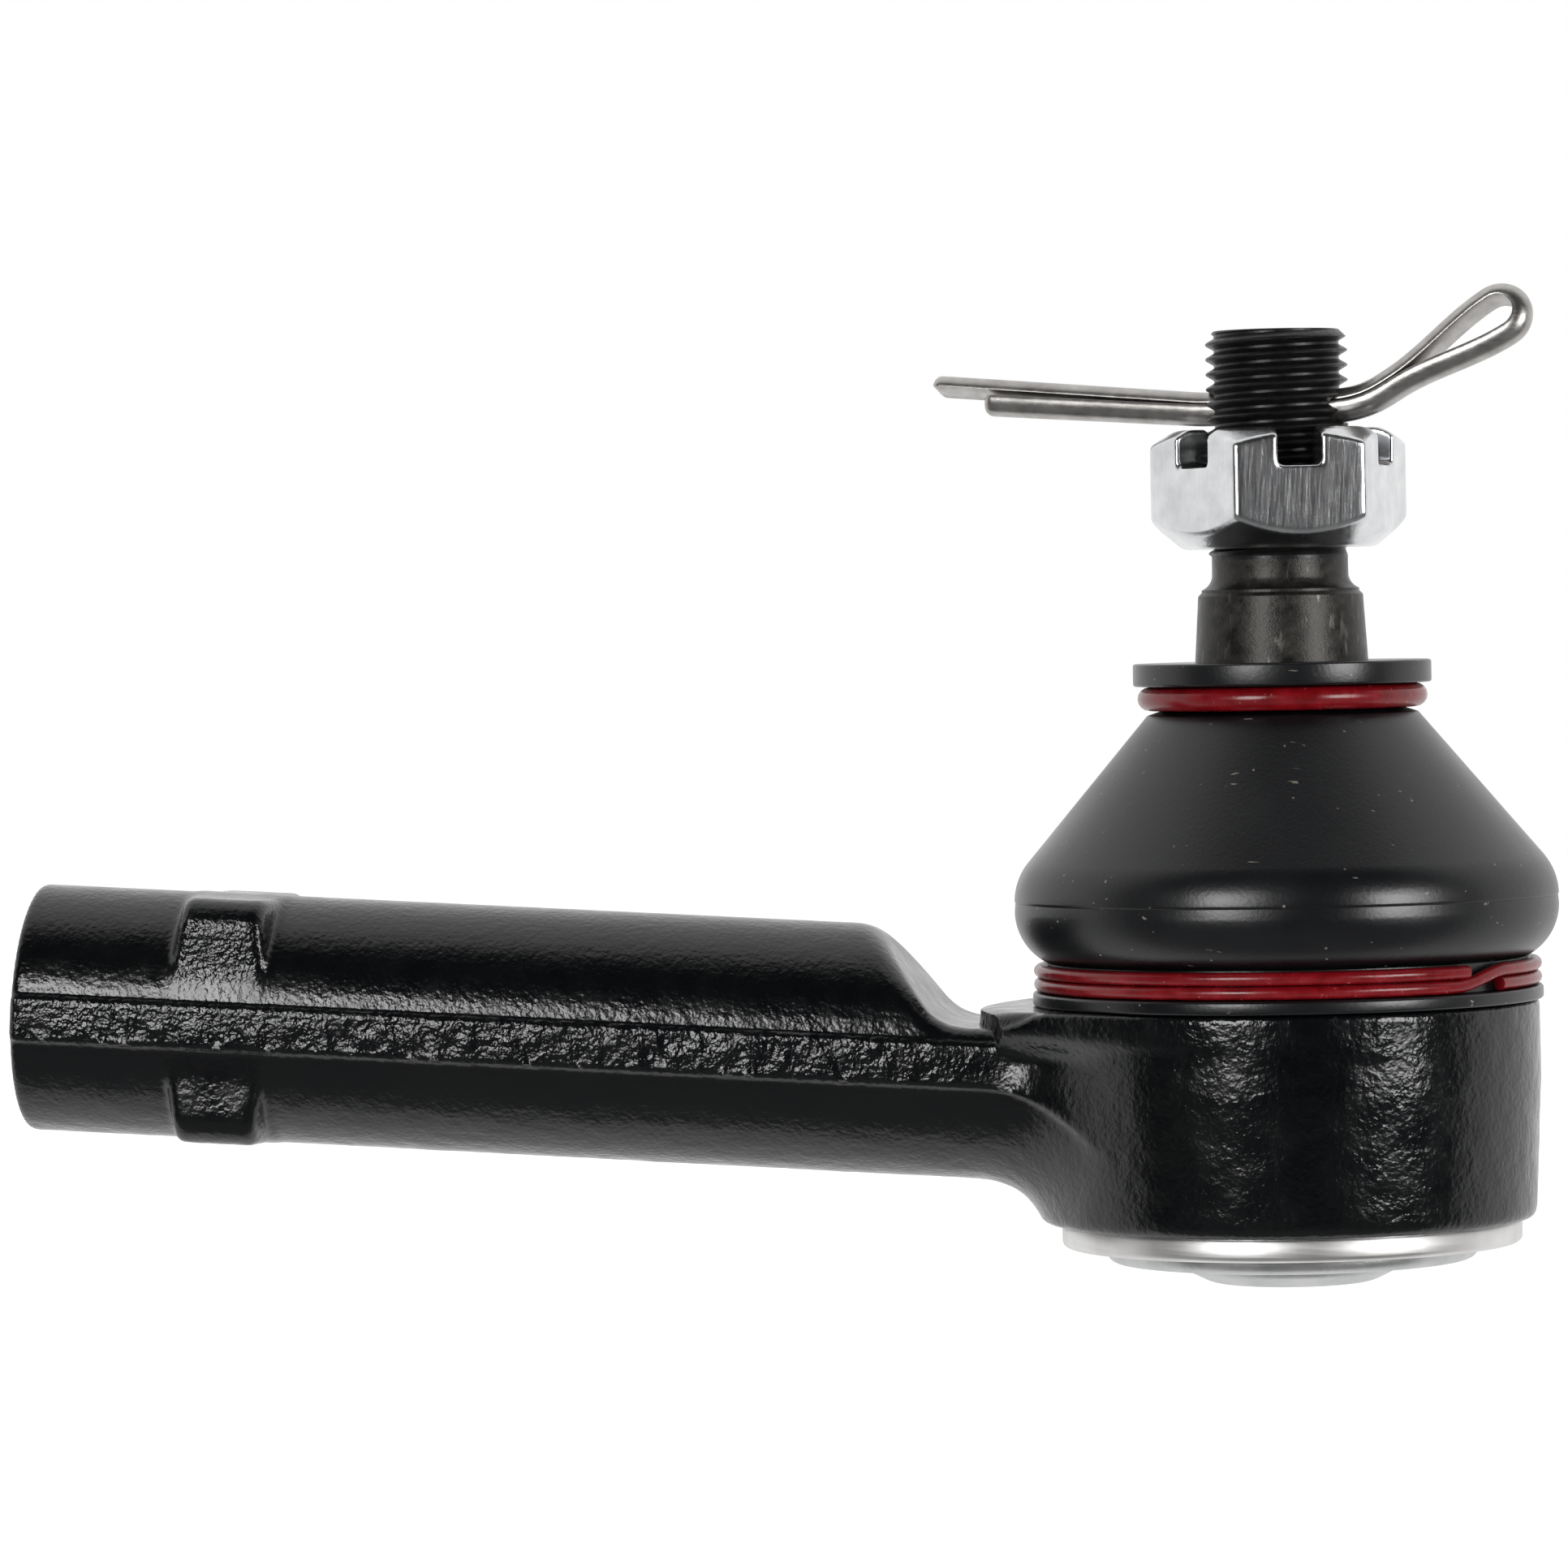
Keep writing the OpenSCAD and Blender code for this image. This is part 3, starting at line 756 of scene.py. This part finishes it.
def hollowed(points):
    """The forging with its bearing cavity, mouth and thread hole cut out."""
    stud = to_stud(points)
    radius, height = np.hypot(stud[:, 0], stud[:, 1]), stud[:, 2]
    share = (height - CAVITY_TOP) / (COLLAR_TOP - CAVITY_TOP)
    mouth = radius - (MOUTH_LOW_R + (MOUTH_HIGH_R - MOUTH_LOW_R) * share)
    cavity = np.maximum(radius - CAVITY_R, height - CAVITY_TOP)
    recess = np.maximum(radius - (LIP_R - 0.7), height - RECESS_TOP)
    hole = np.maximum(np.hypot(points[:, 1], points[:, 2]) - SLEEVE_R, points[:, 0] - SLEEVE_END)
    open_space = np.minimum.reduce([np.maximum(mouth, -height), cavity, recess, hole])
    return np.maximum(forging(points), -open_space)


# Lump size and height of each kind of grain, and the ripples' scale along each axis
RIPPLES, LUMPS, CHIPS = (1.5, 0.024), (0.85, 0.02), (0.72, 0.13)
RIPPLE_SCALE = [0.55, 1, 1]


def grain_height(points, coarse):
    """Height of the forging's grain. Coarse is 1 on the trimmed band and the upper lug's faces."""
    ripples = value_noise(points * RIPPLE_SCALE, RIPPLES[0], 11)
    lumps = value_noise(points, LUMPS[0], 12)
    chips = value_noise(points, CHIPS[0], 13)
    return RIPPLES[1] * ripples + LUMPS[1] * lumps + CHIPS[1] * coarse * chips


# Corners of the block that the forging's mesh is made in
FORGING_BLOCK = np.array([[-1.1, -22.3, -15.9], [130.2, 22.3, 13.1]])


def make_housing():
    points, quads = surface_net(hollowed, *FORGING_BLOCK, VOXEL)
    points = settle(hollowed, points, VOXEL / 2)
    height = to_stud(points)[:, 2]
    x, y, z = points.T
    on_band = step_up(np.abs(y), BAND_Y - 0.3, BAND_Y - 0.1) * (1 - step_up(x, *BAND_FADE))
    on_band *= 1 - step_up(np.abs(z - BAND_MIDDLE), BAND_HALF - 0.2, BAND_HALF + 0.3)
    in_lug = step_up(x, LUG_START, LUG_START + 1) * (1 - step_up(x, LUG_END - 1.2, LUG_END))
    on_lug = in_lug * step_up(np.abs(y), LUG_HALF_Y - 0.5, LUG_HALF_Y - 0.2)
    on_lug *= step_up(z, *LUG_ROUGH)
    coarse = np.clip(on_band + on_lug, 0, 1)
    cast = step_up(x, 0.1, 0.8) * (1 - step_up(height, SOCKET_TOP - 0.35, SOCKET_TOP - 0.1))
    cast *= step_up(height, SOCKET_LOW + 0.1, SOCKET_LOW + 0.6)
    outside = step_up(forging(points), -0.3, -0.1)
    steep = slope(forging, points)
    steep /= np.maximum(np.linalg.norm(steep, axis=1, keepdims=True), 1e-6)
    lift = grain_height(points, coarse) * cast * outside
    points = points + steep * lift[:, None]
    add_piece(
        "housing_body", [(points, quads.tolist())], PAINT, "root", ["housing"],
        math.radians(50), coarse,
    )


def make_lip():
    """Machined lip and plate recess, rolled under the cover plate."""
    outline = filleted([
        (LIP_HOLE_R, LIP_LOW, 0.25),
        (LIP_R, LIP_LOW, 0.5),
        (LIP_R, SOCKET_LOW + 0.1, 0),
        (LIP_R - 0.6, RECESS_TOP + 0.1, 0),
        (RECESS_R, RECESS_TOP + 0.1, 0),
        (RECESS_R, RECESS_LOW, 0.1),
        (LIP_HOLE_R, RECESS_LOW, 0.1),
    ])
    add_piece("housing_lip", [lathe(outline)], MACHINED, "root", ["housing"])


ROD_MINOR_R = 6.19
ROD_MAJOR_R = 7.0
ROD_PITCH = 1.5
ROD_DEPTH = 50.0
COUNTERSINK_R = 7.35
# Length at the thread's inner end that is left plain
ROD_PLAIN = 3
# Shares of the pitch: half of a thread's flat crest, and the flank of the rod's thread
CREST_SHARE = 0.06
ROD_FLANK_SHARE = 0.3
DRILL_HALF_ANGLE = math.radians(59)
SLEEVE_END_WALL = 1.5


def along_arm(points):
    """Turns points about the Z axis into points about the arm's axis, with height as X."""
    points = np.asarray(points)
    return np.stack([points[:, 2], points[:, 0], points[:, 1]], axis=1)


def make_sleeve():
    """Threaded bore for the inner tie rod: the wall between its thread and the forging."""
    segments, rows_per_turn = 72, 10
    rows, angle, x, phase = helix_rows(0, ROD_DEPTH, ROD_PITCH, segments, rows_per_turn)
    fall = np.clip((phase - CREST_SHARE) / ROD_FLANK_SHARE, 0, 1)
    radius = ROD_MAJOR_R - (ROD_MAJOR_R - ROD_MINOR_R) * fall
    radius = np.maximum(radius, COUNTERSINK_R - x)
    radius = np.where(x > ROD_DEPTH - ROD_PLAIN, np.minimum(radius, ROD_MINOR_R + 0.01), radius)
    points = np.stack([radius * np.cos(angle), radius * np.sin(angle), x], axis=-1).reshape(-1, 3)
    faces = [face[:1] + face[:0:-1] for face in helix_faces(rows, segments, rows_per_turn)]
    tip = ROD_DEPTH + ROD_MINOR_R / math.tan(DRILL_HALF_ANGLE)
    spin = 2 * math.pi * np.arange(segments) / segments
    circle = np.stack([np.cos(spin), np.sin(spin), 0 * spin], axis=1)
    outer = SLEEVE_R + 0.05
    end = tip + SLEEVE_END_WALL
    extra = [circle * outer, circle * outer + [0, 0, end], np.array([[0, 0, tip], [0, 0, end]])]
    base = len(points)
    points = np.concatenate([points, *extra])
    centre = base + 2 * segments
    end_ring = (rows - 1) * segments
    for j in range(segments):
        k = (j + 1) % segments
        faces.append([j, k, base + k, base + j])
        faces.append([base + j, base + k, base + segments + k, base + segments + j])
        faces.append([base + segments + j, base + segments + k, centre + 1])
        faces.append([end_ring + j, centre, end_ring + k])
    add_piece(
        "rod_thread", [(along_arm(points), faces)], THREAD, "root", ["housing"]
    )


# ---------------------------------------------------------------- cover plate

PLATE_DOME_R = 9.3
# Steps in from the dome's foot to its shoulder and to its flat top
DOME_SHOULDER, DOME_RUN = 0.6, 2.5
PLATE_T = 1.6
DISH_R = PLATE_STEP_R - 1.1


def make_cover_plate():
    low, flange_low, flange_top = plate_h.min(), RECESS_LOW + FIT_GAP, plate_h.max()
    dome_h = PLATE_STEP_LOW - low
    outline = filleted([
        (0, low),
        (PLATE_DOME_R - DOME_RUN, low, 3.0),
        (PLATE_DOME_R - DOME_SHOULDER, low + dome_h * 0.5, 0.9),
        (PLATE_DOME_R, PLATE_STEP_LOW, 0.25),
        (PLATE_STEP_R, PLATE_STEP_LOW, 0.9),
        (PLATE_STEP_R, flange_low, 0.05),
        (plate_r.max(), flange_low, 0.1),
        (plate_r.max(), flange_top, 0.1),
        (DISH_R, flange_top, 0.3),
        (DISH_R, PLATE_STEP_LOW + PLATE_T, 0.3),
        (PLATE_DOME_R - PLATE_T / 2, PLATE_STEP_LOW + PLATE_T, 0.3),
        (PLATE_DOME_R - PLATE_T, low + PLATE_T, 0.4),
        (0, low + PLATE_T),
    ])
    add_piece(
        "cover_disc", [lathe(outline)], PRESSED, "root", ["cover_plate"]
    )


# ---------------------------------------------------------------- ball stud

STUD_TOP = stud_h.max()
BALL_R = stud_r.max()
BALL_FLAT = stud_h.min()
NECK_R = 5.5
NECK_LOW = 10.6
FLARE_LOW, FLARE_TOP = 19.0, 23.5
TAPER_LOW_R, TAPER_TOP_R = 7.92, 6.906
TAPER_TOP = 39.8
RELIEF_R = 5.7
RELIEF_LOW = 41.3
RELIEF_FILLET = 1.35
THREAD_R = 5.95
THREAD_ROOT = 5.23
THREAD_PITCH = 1.25
THREAD_LOW = 42.75
THREAD_CHAMFER = 0.7
FLANK_SHARE = 0.33


def stud_radius(height, phase):
    """Radius of the stud's thread, with its run-out below and its chamfer above."""
    radius = THREAD_R - (THREAD_R - THREAD_ROOT) * np.clip((phase - CREST_SHARE) / FLANK_SHARE, 0, 1)
    run_out = RELIEF_R - (RELIEF_R - THREAD_ROOT) * np.clip((height - THREAD_LOW - 0.35) / 1.3, 0, 1)
    radius = np.maximum(radius, run_out)
    start = RELIEF_R + (THREAD_R - RELIEF_R) * np.clip((height - THREAD_LOW - 0.2) / 0.4, 0, 1)
    radius = np.minimum(radius, start)
    return np.minimum(radius, THREAD_R - THREAD_CHAMFER + (STUD_TOP - height))


def make_stud():
    flat_turn = math.degrees(math.asin(BALL_FLAT / BALL_R))
    neck_turn = math.degrees(math.acos(NECK_R / BALL_R))
    outline = [(0, BALL_FLAT), *arc((0, 0), BALL_R, flat_turn, neck_turn, 26)]
    outline += filleted([
        (NECK_R, NECK_LOW),
        (NECK_R, FLARE_LOW, 4.0),
        (TAPER_LOW_R, FLARE_TOP, 2.5),
        (TAPER_TOP_R, TAPER_TOP, 0.12),
        (TAPER_TOP_R - 0.3, TAPER_TOP + 0.3),
        *arc((TAPER_TOP_R + 0.15, RELIEF_LOW + 0.3), RELIEF_FILLET, -110, -172, 6),
        (RELIEF_R, RELIEF_LOW + 0.9),
        (RELIEF_R, THREAD_LOW + 0.1),
        (0, THREAD_LOW + 0.1),
    ])
    add_piece("ball_pin", [lathe(outline, 160)], PHOSPHATE, "stud", ["ball_stud"])
    skin = threaded(THREAD_LOW, STUD_TOP, stud_radius, THREAD_PITCH)
    add_piece("stud_thread", [skin], THREAD, "stud", ["ball_stud"])


# ---------------------------------------------------------------- castle nut

NUT_FLAT = 9.5
NUT_TURN = math.radians(15)
# Radius and slope of the chamfers at the nut's lower and upper faces
NUT_LOW_CHAMFER = (8.05, math.radians(40))
NUT_HIGH_CHAMFER = (8.55, math.radians(30))
SLOT_HALF = 1.85
SLOT_DEPTH = 3.2
SLOT_FLOOR_EDGE = 0.6
NUT_EDGE = 0.32
# The bore's gap round the stud's thread, the lead-in at both of its ends and its edge
BORE_GAP, BORE_LEAD, BORE_EDGE = 0.06, 0.6, 0.12
NUT_VOXEL = 0.2


def nut_field(points):
    low, high = nut_h.min(), nut_h.max()
    stud = to_stud(points)
    radius, height = np.hypot(stud[:, 0], stud[:, 1]), stud[:, 2]
    field = np.full(len(points), -99.0)
    slots = np.full(len(points), 99.0)
    for side in range(3):
        angle = NUT_TURN + math.radians(30 + 60 * side)
        normal = np.array([math.cos(angle), math.sin(angle), 0])
        across = np.array([-math.sin(angle), math.cos(angle), 0])
        field = soft_max(field, np.abs(stud @ normal) - NUT_FLAT, NUT_EDGE)
        slots = np.minimum(slots, np.abs(stud @ across) - SLOT_HALF)
    for rise, (face_r, angle) in ((height - low, NUT_LOW_CHAMFER), (high - height, NUT_HIGH_CHAMFER)):
        cone = (radius - face_r) * math.sin(angle) - rise * math.cos(angle)
        field = soft_max(field, cone, NUT_EDGE)
        field = soft_max(field, -rise, NUT_EDGE)
    slots = soft_max(slots, high - SLOT_DEPTH - height, SLOT_FLOOR_EDGE)
    field = soft_max(field, -slots, NUT_EDGE)
    lead = np.maximum(0, BORE_LEAD - (high - height)) + np.maximum(0, BORE_LEAD - (height - low))
    return soft_max(field, THREAD_R + BORE_GAP + lead - radius, BORE_EDGE)


def make_nut():
    reach = nut_r.max() + 1
    centre = BALL + UP * middle(nut_h)
    half = np.array([reach, reach, (nut_h.max() - nut_h.min()) / 2 + 1.4])
    points, quads = surface_net(nut_field, centre - half, centre + half, NUT_VOXEL)
    points = settle(nut_field, points, NUT_VOXEL / 2, 5)
    add_piece(
        "slotted_nut", [(points, quads.tolist())], ZINC, "stud", ["castle_nut"],
        math.radians(50),
    )


# ---------------------------------------------------------------- cotter pin

PIN_H = 55.55
PIN_R = 1.4
# Rounding at the D section's two edges
PIN_EDGE = 0.16
PIN_ROLL = math.radians(21)
PIN_EXIT = 6.2
PIN_LONG, PIN_SHORT = 31.0, 26.0
LEG_RISE = math.radians(5)
LEG_SPLAY = math.radians(0.5)
EYE_REACH = 21.5
EYE_BEND = math.radians(34)
EYE_R = 1.4
# Share of the way to the eye where the two halves part
EYE_OPENS = 0.3
PIN_GAP = 0.06
PATH_STEP = 0.25
BEND_START, BEND_LENGTH = PIN_EXIT - 1.2, 4.5


def pin_heading(s):
    """Direction of the pin's middle line at a distance along it from the stud's axis."""
    legs = -LEG_RISE * (1 - step_up(s, -PIN_EXIT - 1.5, -PIN_EXIT + 0.5))
    return legs + EYE_BEND * np.clip((s - BEND_START) / BEND_LENGTH, 0, 1)


def pin_line():
    """The middle line's places and headings, from the long leg's tip to the eye's centre."""
    bend_end = BEND_START + BEND_LENGTH
    s = np.arange(0, bend_end + PATH_STEP, PATH_STEP)
    bend_x = np.sum(np.cos(pin_heading(s[:-1] + PATH_STEP / 2))) * PATH_STEP
    straight = (EYE_REACH - EYE_R - PIN_R - bend_x) / math.cos(EYE_BEND)
    eye_s = bend_end + straight
    tip_s = -(PIN_EXIT + (PIN_LONG - PIN_EXIT) / math.cos(LEG_RISE))
    s = np.linspace(tip_s, eye_s, int((eye_s - tip_s) / PATH_STEP))
    heading = pin_heading(s)
    steps = np.diff(s)[:, None] * np.stack([np.cos(heading), np.sin(heading)], axis=1)[:-1]
    place = np.concatenate([[[0, 0]], np.cumsum(steps, axis=0)])
    place = place - [np.interp(0, s, place[:, 0]), np.interp(0, s, place[:, 1])]
    return s, place, heading


def half_round(scale):
    """D section: (outward, across) points with the flat at 0 and rounded edges."""
    curve = arc((0, 0), PIN_R, 84, -84, 14)
    flat = [(0, -PIN_R + PIN_EDGE), (0, PIN_R - PIN_EDGE)]
    points = [*flat, (0.05, PIN_R - 0.04), *curve, (0.05, -PIN_R + 0.04)]
    middle_point = np.array([PIN_R * 0.45, 0])
    return (np.array(points) - middle_point) * scale + middle_point


def make_pin():
    s, place, heading = pin_line()
    normal = np.stack([-np.sin(heading), np.cos(heading)], axis=1)
    eye_share = np.clip((s - PIN_EXIT) / (s[-1] - PIN_EXIT), 0, 1)
    opening = EYE_R * step_up(eye_share, EYE_OPENS, 1)
    splay = np.maximum(0, -s - PIN_EXIT) * math.tan(LEG_SPLAY)
    half_gap = (PIN_GAP / 2 + opening + splay)[:, None]
    upper, lower = place + normal * half_gap, place - normal * half_gap
    lower = lower[s >= -(PIN_EXIT + (PIN_SHORT - PIN_EXIT) / math.cos(LEG_RISE))]
    start = math.degrees(heading[-1]) + 90
    loop = arc(place[-1], EYE_R + PIN_GAP / 2, start, start - 180, 26)[1:-1]
    line = np.concatenate([upper, loop, lower[::-1]])
    ahead = np.gradient(line, axis=0)
    ahead /= np.linalg.norm(ahead, axis=1, keepdims=True)
    outward = np.stack([-ahead[:, 1], ahead[:, 0]], axis=1)
    count = len(line)
    ends = np.minimum(np.arange(count), np.arange(count)[::-1]) * PATH_STEP
    scales = np.sqrt(np.clip(1 - np.maximum(0, 1 - ends / 0.5) ** 2 * 0.5, 0, 1))
    rings = []
    for out, scale in zip(outward, scales):
        section = half_round(scale)
        rings.append(np.stack([section[:, 0] * out[0], section[:, 1], section[:, 0] * out[1]], axis=1))
    path = np.stack([line[:, 0], np.zeros(count), line[:, 1]], axis=1)
    points, faces = sweep(path, rings)
    cos_t, sin_t = math.cos(-NUT_TURN), math.sin(-NUT_TURN)
    cos_r, sin_r = math.cos(-PIN_ROLL), math.sin(-PIN_ROLL)
    roll = np.array([[1, 0, 0], [0, cos_r, -sin_r], [0, sin_r, cos_r]])
    turn = np.array([[cos_t, -sin_t, 0], [sin_t, cos_t, 0], [0, 0, 1]])
    points = points @ (turn @ roll).T + [0, 0, PIN_H]
    add_piece(
        "split_pin", [(to_row(points), faces)], WIRE, "stud", ["cotter_pin"],
        math.radians(42),
    )


# ---------------------------------------------------------------- boot and rings

BOOT_R = boot_r.max()
BOOT_TOP = boot_h.max()
BOOT_LOW = boot_h.min()
SEAM_H = float(boot_h[boot_r > BOOT_R - 0.002].mean())
BULGE_UP_R, BULGE_LOW_R = 5.2, 4.85
BULGE_LOW_H = 13.66
BOOT_WALL = 1.6
BEAD_R = 20.1
BEAD_IN_R = 18.65
BEAD_TOP, BEAD_IN_TOP = 8.6, 10.0
FLANGE_R = 21.4
FLANGE_TOP = 6.9
BOOT_LIP_R = 12.5
BOOT_LIP_LOW = 32.35
GROOVE_R = 10.1
CONE_TOP = (11.35, 29.9)
HUG_R = 7.3
SEAM_GROOVE = 0.07


def cone_turn():
    """Angle on the upper bulge where the cone leaves it."""
    centre = np.array([BOOT_R - BULGE_UP_R, SEAM_H])
    way = np.array(CONE_TOP) - centre
    return math.degrees(math.atan2(way[1], way[0]) - math.acos(BULGE_UP_R / np.linalg.norm(way)))


def make_boot():
    turn = cone_turn()
    up_centre = (BOOT_R - BULGE_UP_R, SEAM_H)
    low_centre = (BOOT_R - BULGE_LOW_R, BULGE_LOW_H)
    bead_turn = math.degrees(math.acos((BEAD_R - BOOT_R) / BULGE_LOW_R + 1))
    wall = BOOT_WALL * np.array([math.cos(math.radians(turn)), math.sin(math.radians(turn))])
    inner_top = (CONE_TOP[0] - wall[0], CONE_TOP[1] - wall[1])
    upper = [
        (BOOT_R - SEAM_GROOVE, SEAM_H),
        *arc(up_centre, BULGE_UP_R, 1.2, turn, 22),
        *filleted([
            (CONE_TOP[0] + 0.9, CONE_TOP[1] - 0.9 * math.tan(math.radians(90 - turn))),
            (CONE_TOP[0], CONE_TOP[1], 0.35),
            (GROOVE_R, CONE_TOP[1] + 0.4, 0.2),
            (GROOVE_R, BOOT_LIP_LOW, 0.2),
            (BOOT_LIP_R, BOOT_LIP_LOW, 0.22),
            (BOOT_LIP_R, BOOT_TOP, 0.22),
            (HUG_R, BOOT_TOP, 0.12),
            (HUG_R + 0.3, inner_top[1], 0.2),
            (inner_top[0], inner_top[1], 0.4),
        ]),
        *arc(up_centre, BULGE_UP_R - BOOT_WALL, turn, 0, 18),
    ]
    lower = [
        (BOOT_R - SEAM_GROOVE, SEAM_H),
        *arc(low_centre, BULGE_LOW_R, 0, -bead_turn, 24),
        *filleted([
            (BEAD_R, BEAD_TOP),
            (BEAD_R, FLANGE_TOP, 0.12),
            (FLANGE_R, FLANGE_TOP, 0.3),
            (FLANGE_R, BOOT_LOW, 0.25),
            (BEAD_IN_R, BOOT_LOW),
            (BEAD_IN_R, BEAD_IN_TOP),
        ]),
        *arc(low_centre, BULGE_LOW_R - BOOT_WALL, -bead_turn, 0, 18),
        (BOOT_R - BOOT_WALL, SEAM_H),
    ]
    halves = []
    for name, outline in (("boot_upper", upper), ("boot_lower", lower)):
        halves.append(
            add_piece(name, [lathe(outline)], RUBBER, None, ["dust_boot"], math.radians(60))
        )
    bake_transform(halves[0])
    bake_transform(halves[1])


def make_upper_ring():
    wire_r = (upper_ring_h.max() - upper_ring_h.min()) / 2
    centre = (upper_ring_r.max() - wire_r, middle(upper_ring_h))
    outline = arc(centre, wire_r, 0, 337.5, 15)
    add_piece("upper_ring", [lathe(outline)], RED, "boot_top", ["boot_upper_ring"])


# Degrees round the stud: the wire's start, its whole run, and the part of the run where it climbs
RING_START = 57.0
RING_VIEW = 3.8
RING_RUN = 708.0
RING_CLIMB = (344.0, 362.0)
# Share of the wire's room that its section fills
RING_FILL = 0.985


def make_lower_ring():
    """Wound wire of nearly two turns, which climbs past its start to the second turn."""
    wire_r = (lower_ring_r.max() - lower_ring_r.min()) / 2
    ring_r = middle(lower_ring_r)
    low_h, high_h = lower_ring_h.min() + wire_r, lower_ring_h.max() - wire_r
    travelled = np.linspace(0, RING_RUN, 473)
    height = low_h + (high_h - low_h) * step_up(travelled, *RING_CLIMB)
    angle = np.radians(travelled + RING_START + RING_VIEW - 90)
    outward = np.stack([np.cos(angle), np.sin(angle), 0 * angle], axis=1)
    path = outward * ring_r + np.stack([0 * height, 0 * height, height], axis=1)
    section = np.array(arc((0, 0), wire_r * RING_FILL, 0, 330, 11))
    rings = [np.outer(section[:, 0], out) + np.outer(section[:, 1], [0, 0, 1]) for out in outward]
    points, faces = sweep(path, rings)
    add_piece(
        "lower_ring", [(to_row(points), faces)], RED, "root", ["boot_lower_ring"],
        math.radians(50),
    )


make_housing()
make_lip()
make_sleeve()
make_cover_plate()
make_stud()
make_nut()
make_pin()
make_boot()
make_upper_ring()
make_lower_ring()

for node, material in (
    ("upper_ball_seat", PLASTIC),
    ("lower_ball_seat", PLASTIC),
    ("preload_spring", SPRING),
):
    carried = frame["nodes"][node]
    carried.data.materials.clear()
    carried.data.materials.append(material)

# ---------------------------------------------------------------- stage and light

FLOOR_DROP = 60
FLOOR_RADIUS = 2500
SOFTBOX_DISTANCE = 1000
# Name, degrees round from -Y towards +X, degrees up, width, height and radiance
SOFTBOXES = (
    ("left_softbox", -23, 13, 340, 440, 11),
    ("right_softbox", 52, 13, 420, 420, 11),
)


def floor_look(tree):
    cloud = tree.noise(60)
    return {
        "Base Color": tree.ramp(cloud, [(0.3, grey(0.82)), (0.7, grey(0.86))]),
        "Roughness": tree.span(cloud, 0.3, 0.7, 0.6, 0.7),
        "Emission Color": (1, 1, 1, 1),
        "Emission Strength": 0.55,
    }


def make_floor():
    """A pale backlit table below the object."""
    height = cad_box[0].z / MM - FLOOR_DROP
    angles = np.linspace(0, 2 * math.pi, 64, endpoint=False)
    rim = [(FLOOR_RADIUS * math.cos(a) * MM, FLOOR_RADIUS * math.sin(a) * MM, height * MM) for a in angles]
    mesh = bpy.data.meshes.new("floor")
    mesh.from_pydata(rim, [], [list(range(len(rim)))])
    mesh.materials.append(surface("pale_table", floor_look))
    floor = bpy.data.objects.new("floor", mesh)
    bpy.context.scene.collection.objects.link(floor)
    floor.visible_glossy = False


def make_softbox(name, azimuth, elevation, width, height, radiance):
    """A rectangular lamp that faces the stud from azimuth degrees round from -Y towards +X."""
    a, e = math.radians(azimuth), math.radians(elevation)
    away = Vector((math.sin(a) * math.cos(e), -math.cos(a) * math.cos(e), math.sin(e)))
    data = bpy.data.lights.new(name, "AREA")
    data.shape = "RECTANGLE"
    data.size, data.size_y = width * MM, height * MM
    data.energy = radiance * math.pi * width * height * MM * MM
    lamp = bpy.data.objects.new(name, data)
    bpy.context.scene.collection.objects.link(lamp)
    lamp.location = Vector(BALL * MM) + away * SOFTBOX_DISTANCE * MM
    lamp.rotation_euler = away.to_track_quat("Z", "Y").to_euler()
    lamp.visible_camera = False


def make_world():
    """White behind the object, a pale table below it, and dark on the camera's side."""
    world = bpy.data.worlds.new("studio")
    world.use_nodes = True
    tree = Tree(world.node_tree)
    way = tree.add("ShaderNodeTexCoord").outputs["Generated"]
    facing = tree.add(
        "ShaderNodeVectorMath", {0: way, 1: tuple(VIEW_BACK)}, operation="DOT_PRODUCT"
    ).outputs["Value"]
    shade = tree.ramp(tree.span(facing, -1, 1), [
        (0.0, grey(1.0)),
        (0.38, grey(1.0)),
        (0.5, grey(0.85)),
        (0.6, grey(0.2)),
        (0.66, grey(0.04)),
        (1.0, grey(0.02)),
    ])
    height = tree.add("ShaderNodeSeparateXYZ", {0: way}).outputs["Z"]
    table = tree.ramp(tree.span(height, -0.6, 0), [
        (0.0, grey(0.22)),
        (0.55, grey(0.1)),
        (0.84, grey(0.04)),
        (1.0, grey(0.0)),
    ])
    shade = tree.mix(1.0, shade, table, "LIGHTEN")
    seen = tree.add("ShaderNodeLightPath").outputs["Is Camera Ray"]
    colour = tree.mix(seen, shade, (1, 1, 1, 1))
    back = tree.add("ShaderNodeBackground", {"Color": colour, "Strength": 1.0})
    tree.add("ShaderNodeOutputWorld", {0: back.outputs[0]})
    bpy.context.scene.world = world


make_floor()
for softbox in SOFTBOXES:
    make_softbox(*softbox)
make_world()
bpy.context.scene.view_settings.view_transform = "Standard"
